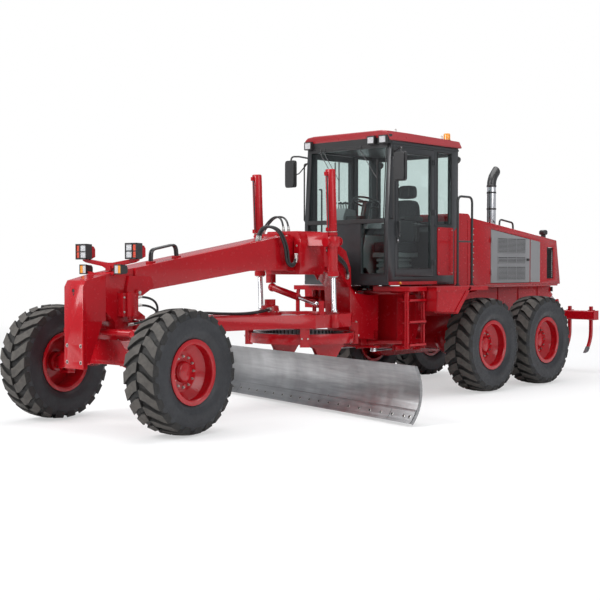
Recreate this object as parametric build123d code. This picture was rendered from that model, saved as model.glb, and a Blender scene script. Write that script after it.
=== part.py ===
from build123d import *
import math
import os

# Motor grader with an articulated frame, a six-wheel chassis, a turning blade and a rear ripper.
# Millimetres. +X forward, +Y left, +Z up. The origin is on the ground on the centre plane,
# halfway between the two rear wheels of a side.

os.makedirs("parts", exist_ok=True)

# ---------------------------------------------------------------- driving dimensions
WHEELBASE = 6600            # front axle to the tandem's centre
TANDEM_PITCH = 1520         # between the two rear wheels of a side
HALF_TRACK = 1075           # centre plane to a wheel's middle

RUN_FIT = 0.05              # radial clearance of a pin or shaft in its bore
SEAT_GAP = 0.3              # between two faces that sit on each other
SWING_GAP = 1.0             # between two faces that pass each other

TYRE_RADIUS = 675
TYRE_BULGE = 222            # half width at the widest part of the side wall
TREAD_HALF = 205            # half width of the tread
TREAD_EDGE_DROP = 20        # the crown stands this much above the tread's edge
CARCASS_WALL = 32
RIM_SEAT_RADIUS = 317
RIM_FLANGE_RADIUS = 352
RIM_HALF_WIDTH = 188
RIM_WALL = 13
RIM_DISC_OUT = 22           # outer face of the wheel disc, outboard of the wheel's middle
RIM_DISC_THICK = 22
HUB_RADIUS = 115
HUB_OUT = 62
SHAFT_RADIUS = 48
SHAFT_END = 34              # the shaft's end, outboard of the wheel's middle

STEER_REST = 6              # the front wheels stand turned to the left, degrees
KING_Y = 820                # kingpin axis
KING_RADIUS = 30
KING_BARREL_RADIUS = 58
KING_BARREL_HALF = 90
FORK_THICK = 34
LEAN_Y = 680                # wheel lean pin axis
LEAN_Z = 700
LEAN_PIN_RADIUS = 36
LEAN_BOSS_RADIUS = 60
LEAN_BAR_Z = 1070
LEAN_BAR_Y = 580
LEAN_BAR_RADIUS = 36
AXLE_HALF_DEEP = 110        # half the axle beam's size along X
STEER_ARM_BACK = 180        # steering ball behind the kingpin
STEER_BALL_Z = 862
STEER_BALL_RADIUS = 28
STEER_PAD_GAP = 3           # open pivot between a steering ball and the rod's pad
STEER_ROD_SHIFT = -19       # the rod stands to the right while the wheels point left
STEER_ROD_RADIUS = 25

BEAM_HALF = 200             # half width of the main beam
NOSE_HALF = 165
PUSH_FACE_X = 7160
PUSH_BACK_X = 6850
NOSE_BOLT_WIDE = 240        # bolt pattern for an attachment on the push block
NOSE_BOLT_TALL = 180
NOSE_BOLT_Z = 840
NOSE_BOLT_HOLE = 13
CARRIER_TOP_Z = 980         # top of the front axle beam, where the front frame stands on it

ARTIC_X = 2000              # articulation pin
ARTIC_PIN_RADIUS = 60
ARTIC_LOW_Z = 750           # top of the lower hitch plate
ARTIC_HIGH_Z = 1405         # underside of the upper hitch plate
HITCH_PLATE = 48
TONGUE_RADIUS = 125
GOOSE_HALF = 225
ARTIC_ROD_Y = 330
ARTIC_ROD_Z = 648
ARTIC_EYE_X = 2330

RAIL_Y = 375                # middle of a rear frame rail
RAIL_HALF = 45
RAIL_LOW_Z = 1080
RAIL_HIGH_Z = 1480
FRAME_REAR_X = -2330
CASE_IN_Y = 640
CASE_OUT_Y = 835
CASE_END_RADIUS = 250

CAB_HALF = 750
CAB_REAR_X = 1000
CAB_FRONT_X = 2550
CAB_FLOOR_Z = 1600
CAB_TOP_Z = 3500
CAB_WALL = 60
DOOR_REAR_X = 1500
DOOR_FRONT_X = 2400
DOOR_LOW_Z = 1650
DOOR_HIGH_Z = 3420
DOOR_GAP = 6
DOOR_THICK = 45
GLASS = 8
ROOF_RISE = 95

HOOD_HALF = 600
HOOD_FRONT_X = 310
HOOD_REAR_TOP_X = -2200
HOOD_REAR_LOW_X = -2330
HOOD_LOW_Z = 1510
HOOD_FRONT_Z = 2520
HOOD_REAR_Z = 2230
HOOD_WALL = 25
BAY_FRONT_X = -210          # engine door opening
BAY_REAR_X = -1360

SADDLE_X = 3590
LIFT_Y = 650
LIFT_PIVOT_Z = 2150
LIFT_LEAN_DEG = 2.6
LIFT_BARREL_RADIUS = 65
LIFT_BARREL_WALL = 14
LIFT_BARREL_LOW = -475      # from the trunnion, along the cylinder
LIFT_BARREL_HIGH = 870
LIFT_ROD_RADIUS = 32
LIFT_EYE_Z = 1225
LIFT_BALL_RADIUS = 40
LIFT_PAD_GAP = 3            # open pivot between a lift rod's ball and its pad

BALL_X = 6350               # drawbar ball
BALL_Z = 1120
BALL_RADIUS = 70
SOCKET_RADIUS = 108
STUD_RADIUS = 32
DRAW_LOW_Z = 1010
DRAW_HIGH_Z = 1180
DRAW_REAR_X = 2900
DRAW_HALF = 640

CIRCLE_X = 3450
CIRCLE_RADIUS = 700
CIRCLE_BORE = 570
CIRCLE_LOW_Z = 800
CIRCLE_HIGH_Z = 930
BLADE_TURN = -14.7          # the blade's right end trails, degrees
BLADE_LENGTH = 4270
BLADE_SHIFT = 573           # the blade stands this far to its left
BLADE_FRONT = 330           # cutting edge ahead of the circle's centre
BLADE_LOW_Z = 35
BLADE_CHORD = 650
BLADE_BULGE = 110
BLADE_TILT = 4
BLADE_THICK = 22
EDGE_HEIGHT = 150
EDGE_THICK = 19
ARM_Y = 500
TIP_X = 20
TIP_Z = 395

RIPPER_PIVOT_X = -2400
RIPPER_PIVOT_Z = 960


# ---------------------------------------------------------------- shared shapes
def side_plate(outline, y_from, y_to):
    """Solid between two Y planes from an (x, z) outline."""
    face = make_face(Polyline(*[(x, y_from, z) for x, z in outline], close=True))
    return extrude(face, amount=y_to - y_from, dir=(0, 1, 0))


def top_plate(outline, z_from, z_to):
    """Solid between two heights from an (x, y) outline."""
    face = make_face(Polyline(*[(x, y, z_from) for x, y in outline], close=True))
    return extrude(face, amount=z_to - z_from, dir=(0, 0, 1))


def cross_plate(outline, x_from, x_to):
    """Solid between two X planes from a (y, z) outline."""
    face = make_face(Polyline(*[(x_from, y, z) for y, z in outline], close=True))
    return extrude(face, amount=x_to - x_from, dir=(1, 0, 0))


def block(x_from, x_to, y_from, y_to, z_from, z_to):
    """Plain block between six planes."""
    size = (x_to - x_from, y_to - y_from, z_to - z_from)
    return Pos(x_from, y_from, z_from) * Box(*size, align=(Align.MIN, Align.MIN, Align.MIN))


def rod(start, end, radius, bore=0):
    """Round bar, or a tube, between two points."""
    line = Vector(*end) - Vector(*start)
    section = Circle(radius)
    if bore:
        section -= Circle(bore)
    return extrude(Plane(origin=start, z_dir=line) * section, amount=line.length)


def pipe(points, radius, bend):
    """Round bar along straight runs joined by bends."""
    path = FilletPolyline(*points, radius=bend)
    start = Plane(origin=path @ 0, z_dir=path % 0)
    return sweep(start * Circle(radius), path=path)


def both_sides(shape):
    """The shape and its mirror image in the centre plane."""
    return [shape, mirror(shape, about=Plane.XZ)]


def on_side(shape, side):
    """A left-hand shape, or its mirror image when side is -1."""
    return shape if side > 0 else mirror(shape, about=Plane.XZ)


def save(name, *shapes):
    """Write one node. Shapes that don't touch stay separate solids."""
    solids = []
    for shape in shapes:
        solids.extend(shape.solids())
    part = solids[0] if len(solids) == 1 else Compound(children=solids)
    export_step(part, f"parts/{name}.step")


# ---------------------------------------------------------------- wheels
def tyre():
    """Low-pressure tyre about its own Z axis, outboard side up."""
    bead = RIM_SEAT_RADIUS + SEAT_GAP
    seat = RIM_HALF_WIDTH - RIM_WALL - SEAT_GAP
    edge = TYRE_RADIUS - TREAD_EDGE_DROP
    inner_edge = edge - CARCASS_WALL - 20
    outline = [
        Line((bead, 0, seat - 45), (bead, 0, seat)),
        Line((bead, 0, seat), (RIM_FLANGE_RADIUS, 0, seat)),
        ThreePointArc((RIM_FLANGE_RADIUS, 0, seat), (470, 0, TYRE_BULGE), (590, 0, TYRE_BULGE - 8)),
        Line((590, 0, TYRE_BULGE - 8), (edge, 0, TREAD_HALF)),
        ThreePointArc((edge, 0, TREAD_HALF), (TYRE_RADIUS, 0, 0), (edge, 0, -TREAD_HALF)),
        Line((edge, 0, -TREAD_HALF), (590, 0, 8 - TYRE_BULGE)),
        ThreePointArc((590, 0, 8 - TYRE_BULGE), (470, 0, -TYRE_BULGE), (RIM_FLANGE_RADIUS, 0, -seat)),
        Line((RIM_FLANGE_RADIUS, 0, -seat), (bead, 0, -seat)),
        Line((bead, 0, -seat), (bead, 0, 45 - seat)),
        ThreePointArc((bead, 0, 45 - seat), (470, 0, CARCASS_WALL - TYRE_BULGE),
                      (inner_edge, 0, CARCASS_WALL - TREAD_HALF)),
        Line((inner_edge, 0, CARCASS_WALL - TREAD_HALF), (inner_edge, 0, TREAD_HALF - CARCASS_WALL)),
        ThreePointArc((inner_edge, 0, TREAD_HALF - CARCASS_WALL), (470, 0, TYRE_BULGE - CARCASS_WALL),
                      (bead, 0, seat - 45)),
    ]
    return revolve(make_face(outline), Axis.Z)


def rim():
    """Deep-dished rim with its disc and hub about its own Z axis, outboard side up."""
    inside = RIM_SEAT_RADIUS - RIM_WALL
    disc_in = RIM_DISC_OUT - RIM_DISC_THICK
    outline = Polyline(
        (0, 0, HUB_OUT), (HUB_RADIUS - 15, 0, HUB_OUT), (HUB_RADIUS, 0, HUB_OUT - 15),
        (HUB_RADIUS, 0, RIM_DISC_OUT), (215, 0, RIM_DISC_OUT), (inside, 0, RIM_DISC_OUT + 60),
        (inside, 0, RIM_HALF_WIDTH), (RIM_FLANGE_RADIUS, 0, RIM_HALF_WIDTH),
        (RIM_FLANGE_RADIUS, 0, RIM_HALF_WIDTH - RIM_WALL),
        (RIM_SEAT_RADIUS, 0, RIM_HALF_WIDTH - RIM_WALL),
        (RIM_SEAT_RADIUS, 0, RIM_WALL - RIM_HALF_WIDTH),
        (RIM_FLANGE_RADIUS, 0, RIM_WALL - RIM_HALF_WIDTH),
        (RIM_FLANGE_RADIUS, 0, -RIM_HALF_WIDTH), (inside, 0, -RIM_HALF_WIDTH),
        (inside, 0, RIM_DISC_OUT + 30), (205, 0, disc_in), (HUB_RADIUS, 0, disc_in),
        (HUB_RADIUS, 0, -70), (SHAFT_RADIUS + RUN_FIT, 0, -70),
        (SHAFT_RADIUS + RUN_FIT, 0, SHAFT_END + 3), (0, 0, SHAFT_END + 3), close=True)
    return revolve(make_face(outline), Axis.Z)


def wheel_place(x, side):
    """Where a wheel stands when it points straight ahead."""
    return Plane(origin=(x, side * HALF_TRACK, TYRE_RADIUS), x_dir=(1, 0, 0), z_dir=(0, side, 0)).location


def steered(shape, side):
    """Turn a front wheel's piece about its kingpin to the rest angle."""
    king = Pos(WHEELBASE, side * KING_Y, 0)
    return king * Rot(0, 0, STEER_REST) * king.inverse() * shape


def build_wheels():
    one_tyre = tyre()
    one_rim = rim()
    for side, side_name in ((1, "left"), (-1, "right")):
        place = wheel_place(WHEELBASE, side)
        save(f"tyre_front_{side_name}", steered(place * one_tyre, side))
        save(f"rim_front_{side_name}", steered(place * one_rim, side))
        for x, end_name in ((TANDEM_PITCH / 2, "middle"), (-TANDEM_PITCH / 2, "rear")):
            place = wheel_place(x, side)
            save(f"tyre_{end_name}_{side_name}", place * one_tyre)
            save(f"rim_{end_name}_{side_name}", place * one_rim)


# ---------------------------------------------------------------- front axle and steering
def build_front_axle():
    half = AXLE_HALF_DEEP
    outline = [(-650, 645), (-450, 650), (-230, 700), (230, 700), (450, 650), (650, 645),
               (650, 745), (450, 752), (230, CARRIER_TOP_Z), (-230, CARRIER_TOP_Z), (-450, 752), (-650, 745)]
    beam = cross_plate(outline, WHEELBASE - half, WHEELBASE + half)
    for side in (1, -1):
        boss_from = (WHEELBASE - half, side * LEAN_Y, LEAN_Z)
        boss_to = (WHEELBASE + half, side * LEAN_Y, LEAN_Z)
        beam += rod(boss_from, boss_to, LEAN_BOSS_RADIUS)
        beam -= rod(boss_from, boss_to, LEAN_PIN_RADIUS + RUN_FIT)
    rod_x = WHEELBASE - STEER_ARM_BACK
    rod_z = steer_rod_z()
    barrel = rod((rod_x, -260, rod_z), (rod_x, 260, rod_z), 50)
    bracket = block(rod_x, WHEELBASE - half, -180, 180, rod_z - 45, rod_z + 20)
    beam += barrel + bracket
    beam -= rod((rod_x, -260, rod_z), (rod_x, 260, rod_z), STEER_ROD_RADIUS + RUN_FIT)
    save("front_axle", beam)


def steer_rod_z():
    """Height of the steering rod, whose end pads lie on the steering balls."""
    return STEER_BALL_Z + STEER_BALL_RADIUS + STEER_PAD_GAP + 30


def build_steering_rod():
    x = WHEELBASE - STEER_ARM_BACK
    z = steer_rod_z()
    pad_low = STEER_BALL_Z + STEER_BALL_RADIUS + STEER_PAD_GAP
    reach = LEAN_Y - 20
    bar = rod((x, STEER_ROD_SHIFT - reach, z), (x, STEER_ROD_SHIFT + reach, z), STEER_ROD_RADIUS)
    for side in (1, -1):
        y = STEER_ROD_SHIFT + side * LEAN_Y
        bar += block(x - 26, x + 26, y - 45, y + 45, pad_low, pad_low + 26)
    save("steering_rod", bar)


def build_lean():
    half = AXLE_HALF_DEEP
    ear = 50
    gap = SEAT_GAP + 4
    low_ear = [(LEAN_Y - 62, LEAN_Z - 20), (LEAN_Y - 30, LEAN_Z - 62), (LEAN_Y + 60, LEAN_Z - 70),
               (KING_Y, LEAN_Z - 95), (KING_Y, LEAN_Z + 50), (LEAN_Y + 30, LEAN_Z + 66), (LEAN_Y - 50, LEAN_Z + 45)]
    high_ear = [(LEAN_Y - 62, LEAN_Z - 20), (LEAN_Y - 30, LEAN_Z - 62), (LEAN_Y + 60, LEAN_Z - 70),
                (KING_Y, LEAN_Z - 95), (KING_Y, LEAN_Z + 50), (LEAN_Y + 40, LEAN_Z + 100),
                (LEAN_BAR_Y + 32, LEAN_BAR_Z + 34), (LEAN_BAR_Y - 32, LEAN_BAR_Z + 34),
                (LEAN_Y - 72, LEAN_Z + 80)]
    for side, side_name in ((1, "left"), (-1, "right")):
        yoke = cross_plate(low_ear, WHEELBASE - half - gap - ear, WHEELBASE - half - gap)
        yoke += cross_plate(high_ear, WHEELBASE + half + gap, WHEELBASE + half + gap + ear)
        web = top_plate([(WHEELBASE - half - gap - ear, KING_Y - 56), (WHEELBASE + half + gap + ear, KING_Y - 56),
                         (WHEELBASE + half + gap + ear, KING_Y - 10), (WHEELBASE + 30, KING_Y + 20),
                         (WHEELBASE - 30, KING_Y + 20), (WHEELBASE - half - gap - ear, KING_Y - 10)],
                        LEAN_Z - 85, LEAN_Z + 45)
        king_z = TYRE_RADIUS
        barrel = rod((WHEELBASE, KING_Y, king_z - KING_BARREL_HALF), (WHEELBASE, KING_Y, king_z + KING_BARREL_HALF),
                     KING_BARREL_RADIUS)
        yoke += web
        yoke += barrel
        yoke += rod((WHEELBASE - half - gap - ear, LEAN_Y, LEAN_Z), (WHEELBASE + half + gap + ear, LEAN_Y, LEAN_Z),
                    LEAN_PIN_RADIUS)
        yoke -= rod((WHEELBASE, KING_Y, king_z - 200), (WHEELBASE, KING_Y, king_z + 200), KING_RADIUS + RUN_FIT)
        save(f"lean_yoke_{side_name}", on_side(yoke, side))
    x = WHEELBASE + half + gap + ear + SEAT_GAP
    bar = rod((x + 40, -LEAN_BAR_Y + 30, LEAN_BAR_Z), (x + 40, LEAN_BAR_Y - 30, LEAN_BAR_Z), LEAN_BAR_RADIUS)
    for side in (1, -1):
        eye = rod((x, side * LEAN_BAR_Y, LEAN_BAR_Z), (x + 70, side * LEAN_BAR_Y, LEAN_BAR_Z), 42)
        bar += eye
    save("lean_bar", bar)


def build_knuckles():
    king_z = TYRE_RADIUS
    fork_in = KING_BARREL_HALF + SWING_GAP
    for side, side_name in ((1, "left"), (-1, "right")):
        knuckle = rod((WHEELBASE, KING_Y, king_z - fork_in - FORK_THICK), (WHEELBASE, KING_Y, king_z + fork_in + FORK_THICK),
                      KING_RADIUS)
        for z in (king_z - fork_in - FORK_THICK, king_z + fork_in):
            knuckle += rod((WHEELBASE, KING_Y, z), (WHEELBASE, KING_Y, z + FORK_THICK), KING_BARREL_RADIUS)
            knuckle += block(WHEELBASE - 55, WHEELBASE + 55, KING_Y, KING_Y + 110, z, z + FORK_THICK)
        knuckle += block(WHEELBASE - 55, WHEELBASE + 55, KING_Y + 70, KING_Y + 110,
                         king_z - fork_in - FORK_THICK, king_z + fork_in + FORK_THICK)
        hub_in = HALF_TRACK - 70 - SWING_GAP
        knuckle += rod((WHEELBASE, KING_Y + 80, king_z), (WHEELBASE, hub_in, king_z), 75)
        knuckle += rod((WHEELBASE, KING_Y + 80, king_z), (WHEELBASE, HALF_TRACK + SHAFT_END, king_z), SHAFT_RADIUS)
        arm_z = king_z + fork_in + FORK_THICK
        arm_x = WHEELBASE - STEER_ARM_BACK
        arm = top_plate([(WHEELBASE - 50, KING_Y + 45), (WHEELBASE + 45, KING_Y + 45), (WHEELBASE + 45, KING_Y - 40),
                         (arm_x + 25, LEAN_Y - 28), (arm_x - 28, LEAN_Y - 20), (arm_x - 25, LEAN_Y + 30)],
                        arm_z, arm_z + 24)
        knuckle += arm
        ball_at = (arm_x, LEAN_Y, STEER_BALL_Z)
        knuckle += rod((arm_x, LEAN_Y, arm_z), ball_at, 17)
        knuckle += Pos(*ball_at) * Sphere(STEER_BALL_RADIUS)
        save(f"knuckle_{side_name}", steered(on_side(knuckle, side), side))


# ---------------------------------------------------------------- front frame
def beam_outline(grow):
    """Side outline of the main beam, with its top and underside moved out by grow."""
    return [(6460, 1776 + grow), (6460, 1501 - grow), (5945, 1568 - grow), (4630, 1738 - grow), (3400, 1745 - grow),
            (3000, 1700), (2900, 2040 + grow), (3150, 2130 + grow), (3990, 2185 + grow)]


def goose_outline(grow):
    """Side outline of the gooseneck, which arches over the circle's rear in front of the cab."""
    return [(3200 + grow, 1745 - grow), (2940 + grow, 1700 - grow), (2725 + grow, 1510), (2700 + grow, 1000),
            (2620, 857), (2480, 800), (ARTIC_X, 760), (ARTIC_X, 1395), (2250, 1395), (2600, 1430), (2690, 1500),
            (2700, 1780), (2800, 2000), (2950, 2080 + grow), (3150, 2130 + grow), (3200 + grow, 2130 + grow)]


def build_front_frame():
    outline = [(6460, 1776), (PUSH_BACK_X - SEAT_GAP, 1707), (PUSH_BACK_X - SEAT_GAP, 1290), (6725, 1180),
               (6715, CARRIER_TOP_Z + SEAT_GAP), (6485, CARRIER_TOP_Z + SEAT_GAP), (6475, 1010), (6290, 1010),
               (6290, 1040), (6475, 1040), (6475, 1200), (6290, 1200), (6290, 1230), (6400, 1300),
               (6400, 1509), (5945, 1568), (4630, 1738), (3990, 1800)]
    nose = side_plate([(6300, 1803)] + outline[:15] + [(6300, 1522)], -NOSE_HALF, NOSE_HALF)
    beam = side_plate(beam_outline(0), -BEAM_HALF, BEAM_HALF)
    goose = side_plate(goose_outline(0), -GOOSE_HALF, GOOSE_HALF)
    tongue_low = ARTIC_LOW_Z + SWING_GAP
    tongue_high = ARTIC_HIGH_Z - SWING_GAP
    goose -= block(ARTIC_X - 10, ARTIC_X + 190, -GOOSE_HALF - 1, GOOSE_HALF + 1, 0, tongue_low + 150)
    tongue = rod((ARTIC_X, 0, tongue_low), (ARTIC_X, 0, tongue_high), TONGUE_RADIUS)
    neck = top_plate([(ARTIC_X, -TONGUE_RADIUS), (ARTIC_X + 260, -GOOSE_HALF), (ARTIC_X + 260, GOOSE_HALF),
                      (ARTIC_X, TONGUE_RADIUS)], tongue_low + 40, tongue_high)
    lug_low = ARTIC_ROD_Z + 28
    outrigger = top_plate([(2270, -395), (2390, -395), (2450, 0), (2390, 395), (2270, 395), (2240, 0)],
                          lug_low, lug_low + 26)
    stem = top_plate([(2270, -160), (2400, -160), (2400, 160), (2270, 160)], lug_low, 900)
    frame = beam + nose
    frame += goose - block(1700, ARTIC_X + 100, -400, 400, 600, 1500)
    frame += neck + tongue
    frame += outrigger + stem
    frame -= rod((ARTIC_X, 0, 600), (ARTIC_X, 0, 1500), ARTIC_PIN_RADIUS + RUN_FIT)
    frame -= rod((BALL_X, 0, 1000), (BALL_X, 0, 1240), STUD_RADIUS + RUN_FIT)
    save("front_frame", frame)


def build_push_plate():
    outline = [(PUSH_BACK_X, 1195), (6900, 1190), (7100, 800), (7105, 680), (PUSH_FACE_X, 680),
               (PUSH_FACE_X, 1570), (7120, 1640), (PUSH_BACK_X, 1705)]
    plate = side_plate(outline, -NOSE_HALF, NOSE_HALF)
    for y in (-NOSE_BOLT_WIDE / 2, NOSE_BOLT_WIDE / 2):
        for z in (NOSE_BOLT_Z - NOSE_BOLT_TALL / 2, NOSE_BOLT_Z + NOSE_BOLT_TALL / 2):
            plate -= rod((PUSH_FACE_X - 35, y, z), (PUSH_FACE_X + 1, y, z), NOSE_BOLT_HOLE)
    save("push_plate", plate)


def build_head_lamps():
    post = block(6740, 6800, -35, 35, 1700, 1850) - side_plate(
        [(6700, 1600), (6900, 1600), (6900, 1698 + SEAT_GAP), (6460, 1776 + SEAT_GAP)], -50, 50)
    bar = post + block(6745, 6795, -520, 520, 1820, 1860)
    for side in (1, -1):
        bar += block(6750, 6790, side * 450 - 30, side * 450 + 30, 1850, 1880)
        bar += side_plate([(6830, 1875), (6830, 2045), (6740, 2035), (6700, 1960), (6740, 1875)],
                          side * 450 - 90, side * 450 + 90)
        bar += block(6760, 6830, side * 470 - 60, side * 470 + 60, 1745, 1800)
        bar += block(6770, 6790, side * 470 - 15, side * 470 + 15, 1790, 1830)
    save("head_lamps", bar)


def lift_place(side):
    """Frame of a lift cylinder: origin on the trunnion axis, Z up along the cylinder."""
    lean = math.radians(LIFT_LEAN_DEG)
    return Plane(origin=(SADDLE_X, side * LIFT_Y, LIFT_PIVOT_Z), x_dir=(math.cos(lean), 0, -math.sin(lean)),
                 z_dir=(math.sin(lean), 0, math.cos(lean))).location


def build_lift():
    collar = 95
    saddle = cross_plate([(-290, 1690), (290, 1690), (320, 1800), (320, 2140), (260, 2250), (-260, 2250),
                          (-320, 2140), (-320, 1800)], 3350, 3830)
    saddle -= side_plate(beam_outline(SEAT_GAP), -BEAM_HALF - SEAT_GAP, BEAM_HALF + SEAT_GAP)
    for side in (1, -1):
        place = lift_place(side)
        arm = side_plate([(SADDLE_X - 110, 2060), (SADDLE_X + 110, 2060), (SADDLE_X + 80, 2230),
                          (SADDLE_X - 80, 2230)], 250, LIFT_Y)
        arm = on_side(arm, side)
        ring = place * Pos(0, 0, -40) * Cylinder(collar, 130)
        bore = place * Pos(0, 0, -40) * Cylinder(LIFT_BARREL_RADIUS + SEAT_GAP, 500)
        saddle += arm + ring
        saddle -= bore
    pivot = shift_pivot()
    saddle += block(3700, 3800, -320, -235, pivot[2] + 58 + SEAT_GAP, 1760)
    save("lift_saddle", saddle)

    barrels = []
    rods = []
    gland = LIFT_ROD_RADIUS + RUN_FIT
    eye_local = (LIFT_EYE_Z - LIFT_PIVOT_Z)
    for side in (1, -1):
        place = lift_place(side)
        high = LIFT_BARREL_HIGH
        low = LIFT_BARREL_LOW
        inner = LIFT_BARREL_RADIUS - LIFT_BARREL_WALL
        profile = Polyline((gland, 0, low), (LIFT_BARREL_RADIUS, 0, low), (LIFT_BARREL_RADIUS, 0, high),
                           (0, 0, high), (0, 0, high - 25), (inner, 0, high - 25), (inner, 0, low + 70),
                           (gland, 0, low + 70), close=True)
        barrels.append(place * revolve(make_face(profile), Axis.Z))
        bar = Pos(0, 0, eye_local) * Cylinder(LIFT_ROD_RADIUS, 1250, align=(Align.CENTER, Align.CENTER, Align.MIN))
        bar += Pos(0, 0, eye_local) * Sphere(LIFT_BALL_RADIUS)
        rods.append(place * bar)
    save("lift_barrels", *barrels)
    save("lift_rods", *rods)


def build_hoses():
    hoop = pipe([(6120, 60, 1845), (6110, 60, 2000), (5740, 60, 2060), (5730, 60, 1910)], 12, 45)
    fall = (2185 - 1776) / (6460 - 3990)
    for x in (6120, 5730):
        top = 1776 + (6460 - x) * fall + SEAT_GAP
        hoop += side_plate([(x - 40, top + 40 * fall), (x + 40, top - 40 * fall), (x + 40, top + 14),
                            (x - 40, top + 14 + 40 * fall)], 35, 85)
    out = BEAM_HALF + 14 + SEAT_GAP
    side_pipe = pipe([(6440, out, 1600), (5945, out, 1650), (4200, out, 1880), (3860, out, 2000)], 14, 120)
    save("hoses", hoop, side_pipe, mirror(side_pipe, about=Plane.XZ))


# ---------------------------------------------------------------- drawbar, circle and blade
def build_drawbar():
    stud = rod((BALL_X, 0, 1010), (BALL_X, 0, 1232), STUD_RADIUS)
    save("drawbar_ball", stud + Pos(BALL_X, 0, BALL_Z) * Sphere(BALL_RADIUS))

    rail = top_plate([(6250, 30), (6250, 90), (4300, 330), (3900, DRAW_HALF), (3200, DRAW_HALF), (DRAW_REAR_X, 420),
                      (DRAW_REAR_X, -420), (3200, -DRAW_HALF), (3900, -DRAW_HALF), (4300, -330), (6250, -90),
                      (6250, -30)], DRAW_LOW_Z, DRAW_HIGH_Z)
    window = top_plate([(5200, 60), (4150, 210), (4150, -210), (5200, -60)], DRAW_LOW_Z - 1, DRAW_HIGH_Z + 1)
    well = Pos(CIRCLE_X, 0, DRAW_LOW_Z) * Cylinder(500, 500)
    drawbar = rail - window - well
    socket = Pos(BALL_X, 0, BALL_Z) * Sphere(SOCKET_RADIUS)
    socket -= block(BALL_X - 200, BALL_X + 200, -200, 200, BALL_Z + 62, BALL_Z + 300)
    socket -= block(BALL_X - 200, BALL_X + 200, -200, 200, BALL_Z - 300, BALL_Z - 62)
    drawbar += socket
    drawbar -= Pos(BALL_X, 0, BALL_Z) * Sphere(BALL_RADIUS + SEAT_GAP)
    drawbar -= Pos(BALL_X, 0, BALL_Z) * Cylinder(STUD_RADIUS + 24, 400)
    pad_top = LIFT_EYE_Z - LIFT_BALL_RADIUS - LIFT_PAD_GAP
    pad_x = SADDLE_X - (LIFT_PIVOT_Z - LIFT_EYE_Z) * math.tan(math.radians(LIFT_LEAN_DEG))
    for side in (1, -1):
        drawbar += Pos(pad_x, side * LIFT_Y, DRAW_LOW_Z) * Cylinder(
            60, pad_top - DRAW_LOW_Z, align=(Align.CENTER, Align.CENTER, Align.MIN))
    eye = shift_eye()
    drawbar += block(eye[0] - 35, eye[0] + 35, eye[1] + 70, eye[1] + 105, DRAW_HIGH_Z - 20, eye[2] + 40)
    for angle in (45, 135, 225, 315):
        shoe = block(CIRCLE_RADIUS + SWING_GAP, CIRCLE_RADIUS + 50, -60, 60, CIRCLE_LOW_Z - 30, DRAW_LOW_Z + 20)
        shoe += block(CIRCLE_RADIUS - 60, CIRCLE_RADIUS + 50, -60, 60, CIRCLE_HIGH_Z + SWING_GAP, DRAW_LOW_Z + 20)
        shoe += block(CIRCLE_RADIUS - 50, CIRCLE_RADIUS + 50, -60, 60, CIRCLE_LOW_Z - 30, CIRCLE_LOW_Z - SEAT_GAP)
        drawbar += Pos(CIRCLE_X, 0, 0) * Rot(0, 0, angle) * shoe
    save("drawbar", drawbar)


def turned(shape):
    """Move a piece from the circle's own frame to its rest angle below the drawbar."""
    return Pos(CIRCLE_X, 0, 0) * Rot(0, 0, BLADE_TURN) * shape


def blade_arc(offset):
    """Front face of the moldboard in (x, z), moved back by offset: bottom, bulge and top points."""
    tilt = math.radians(BLADE_TILT)
    along = (-math.sin(tilt), math.cos(tilt))
    back = (-math.cos(tilt), -math.sin(tilt))
    start = (BLADE_FRONT, BLADE_LOW_Z)
    points = []
    for share, depth in ((0, 0), (0.5, BLADE_BULGE), (1, 0)):
        x = start[0] + along[0] * BLADE_CHORD * share + back[0] * (depth + offset)
        z = start[1] + along[1] * BLADE_CHORD * share + back[1] * (depth + offset)
        points.append((x, z))
    return points


def blade_solid(offset_from, offset_to, y_from, y_to):
    near = [(x, y_from, z) for x, z in blade_arc(offset_from)]
    far = [(x, y_from, z) for x, z in blade_arc(offset_to)]
    outline = [ThreePointArc(*near), Line(near[2], far[2]), ThreePointArc(far[2], far[1], far[0]),
               Line(far[0], near[0])]
    return extrude(make_face(outline), amount=y_to - y_from, dir=(0, 1, 0))


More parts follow.
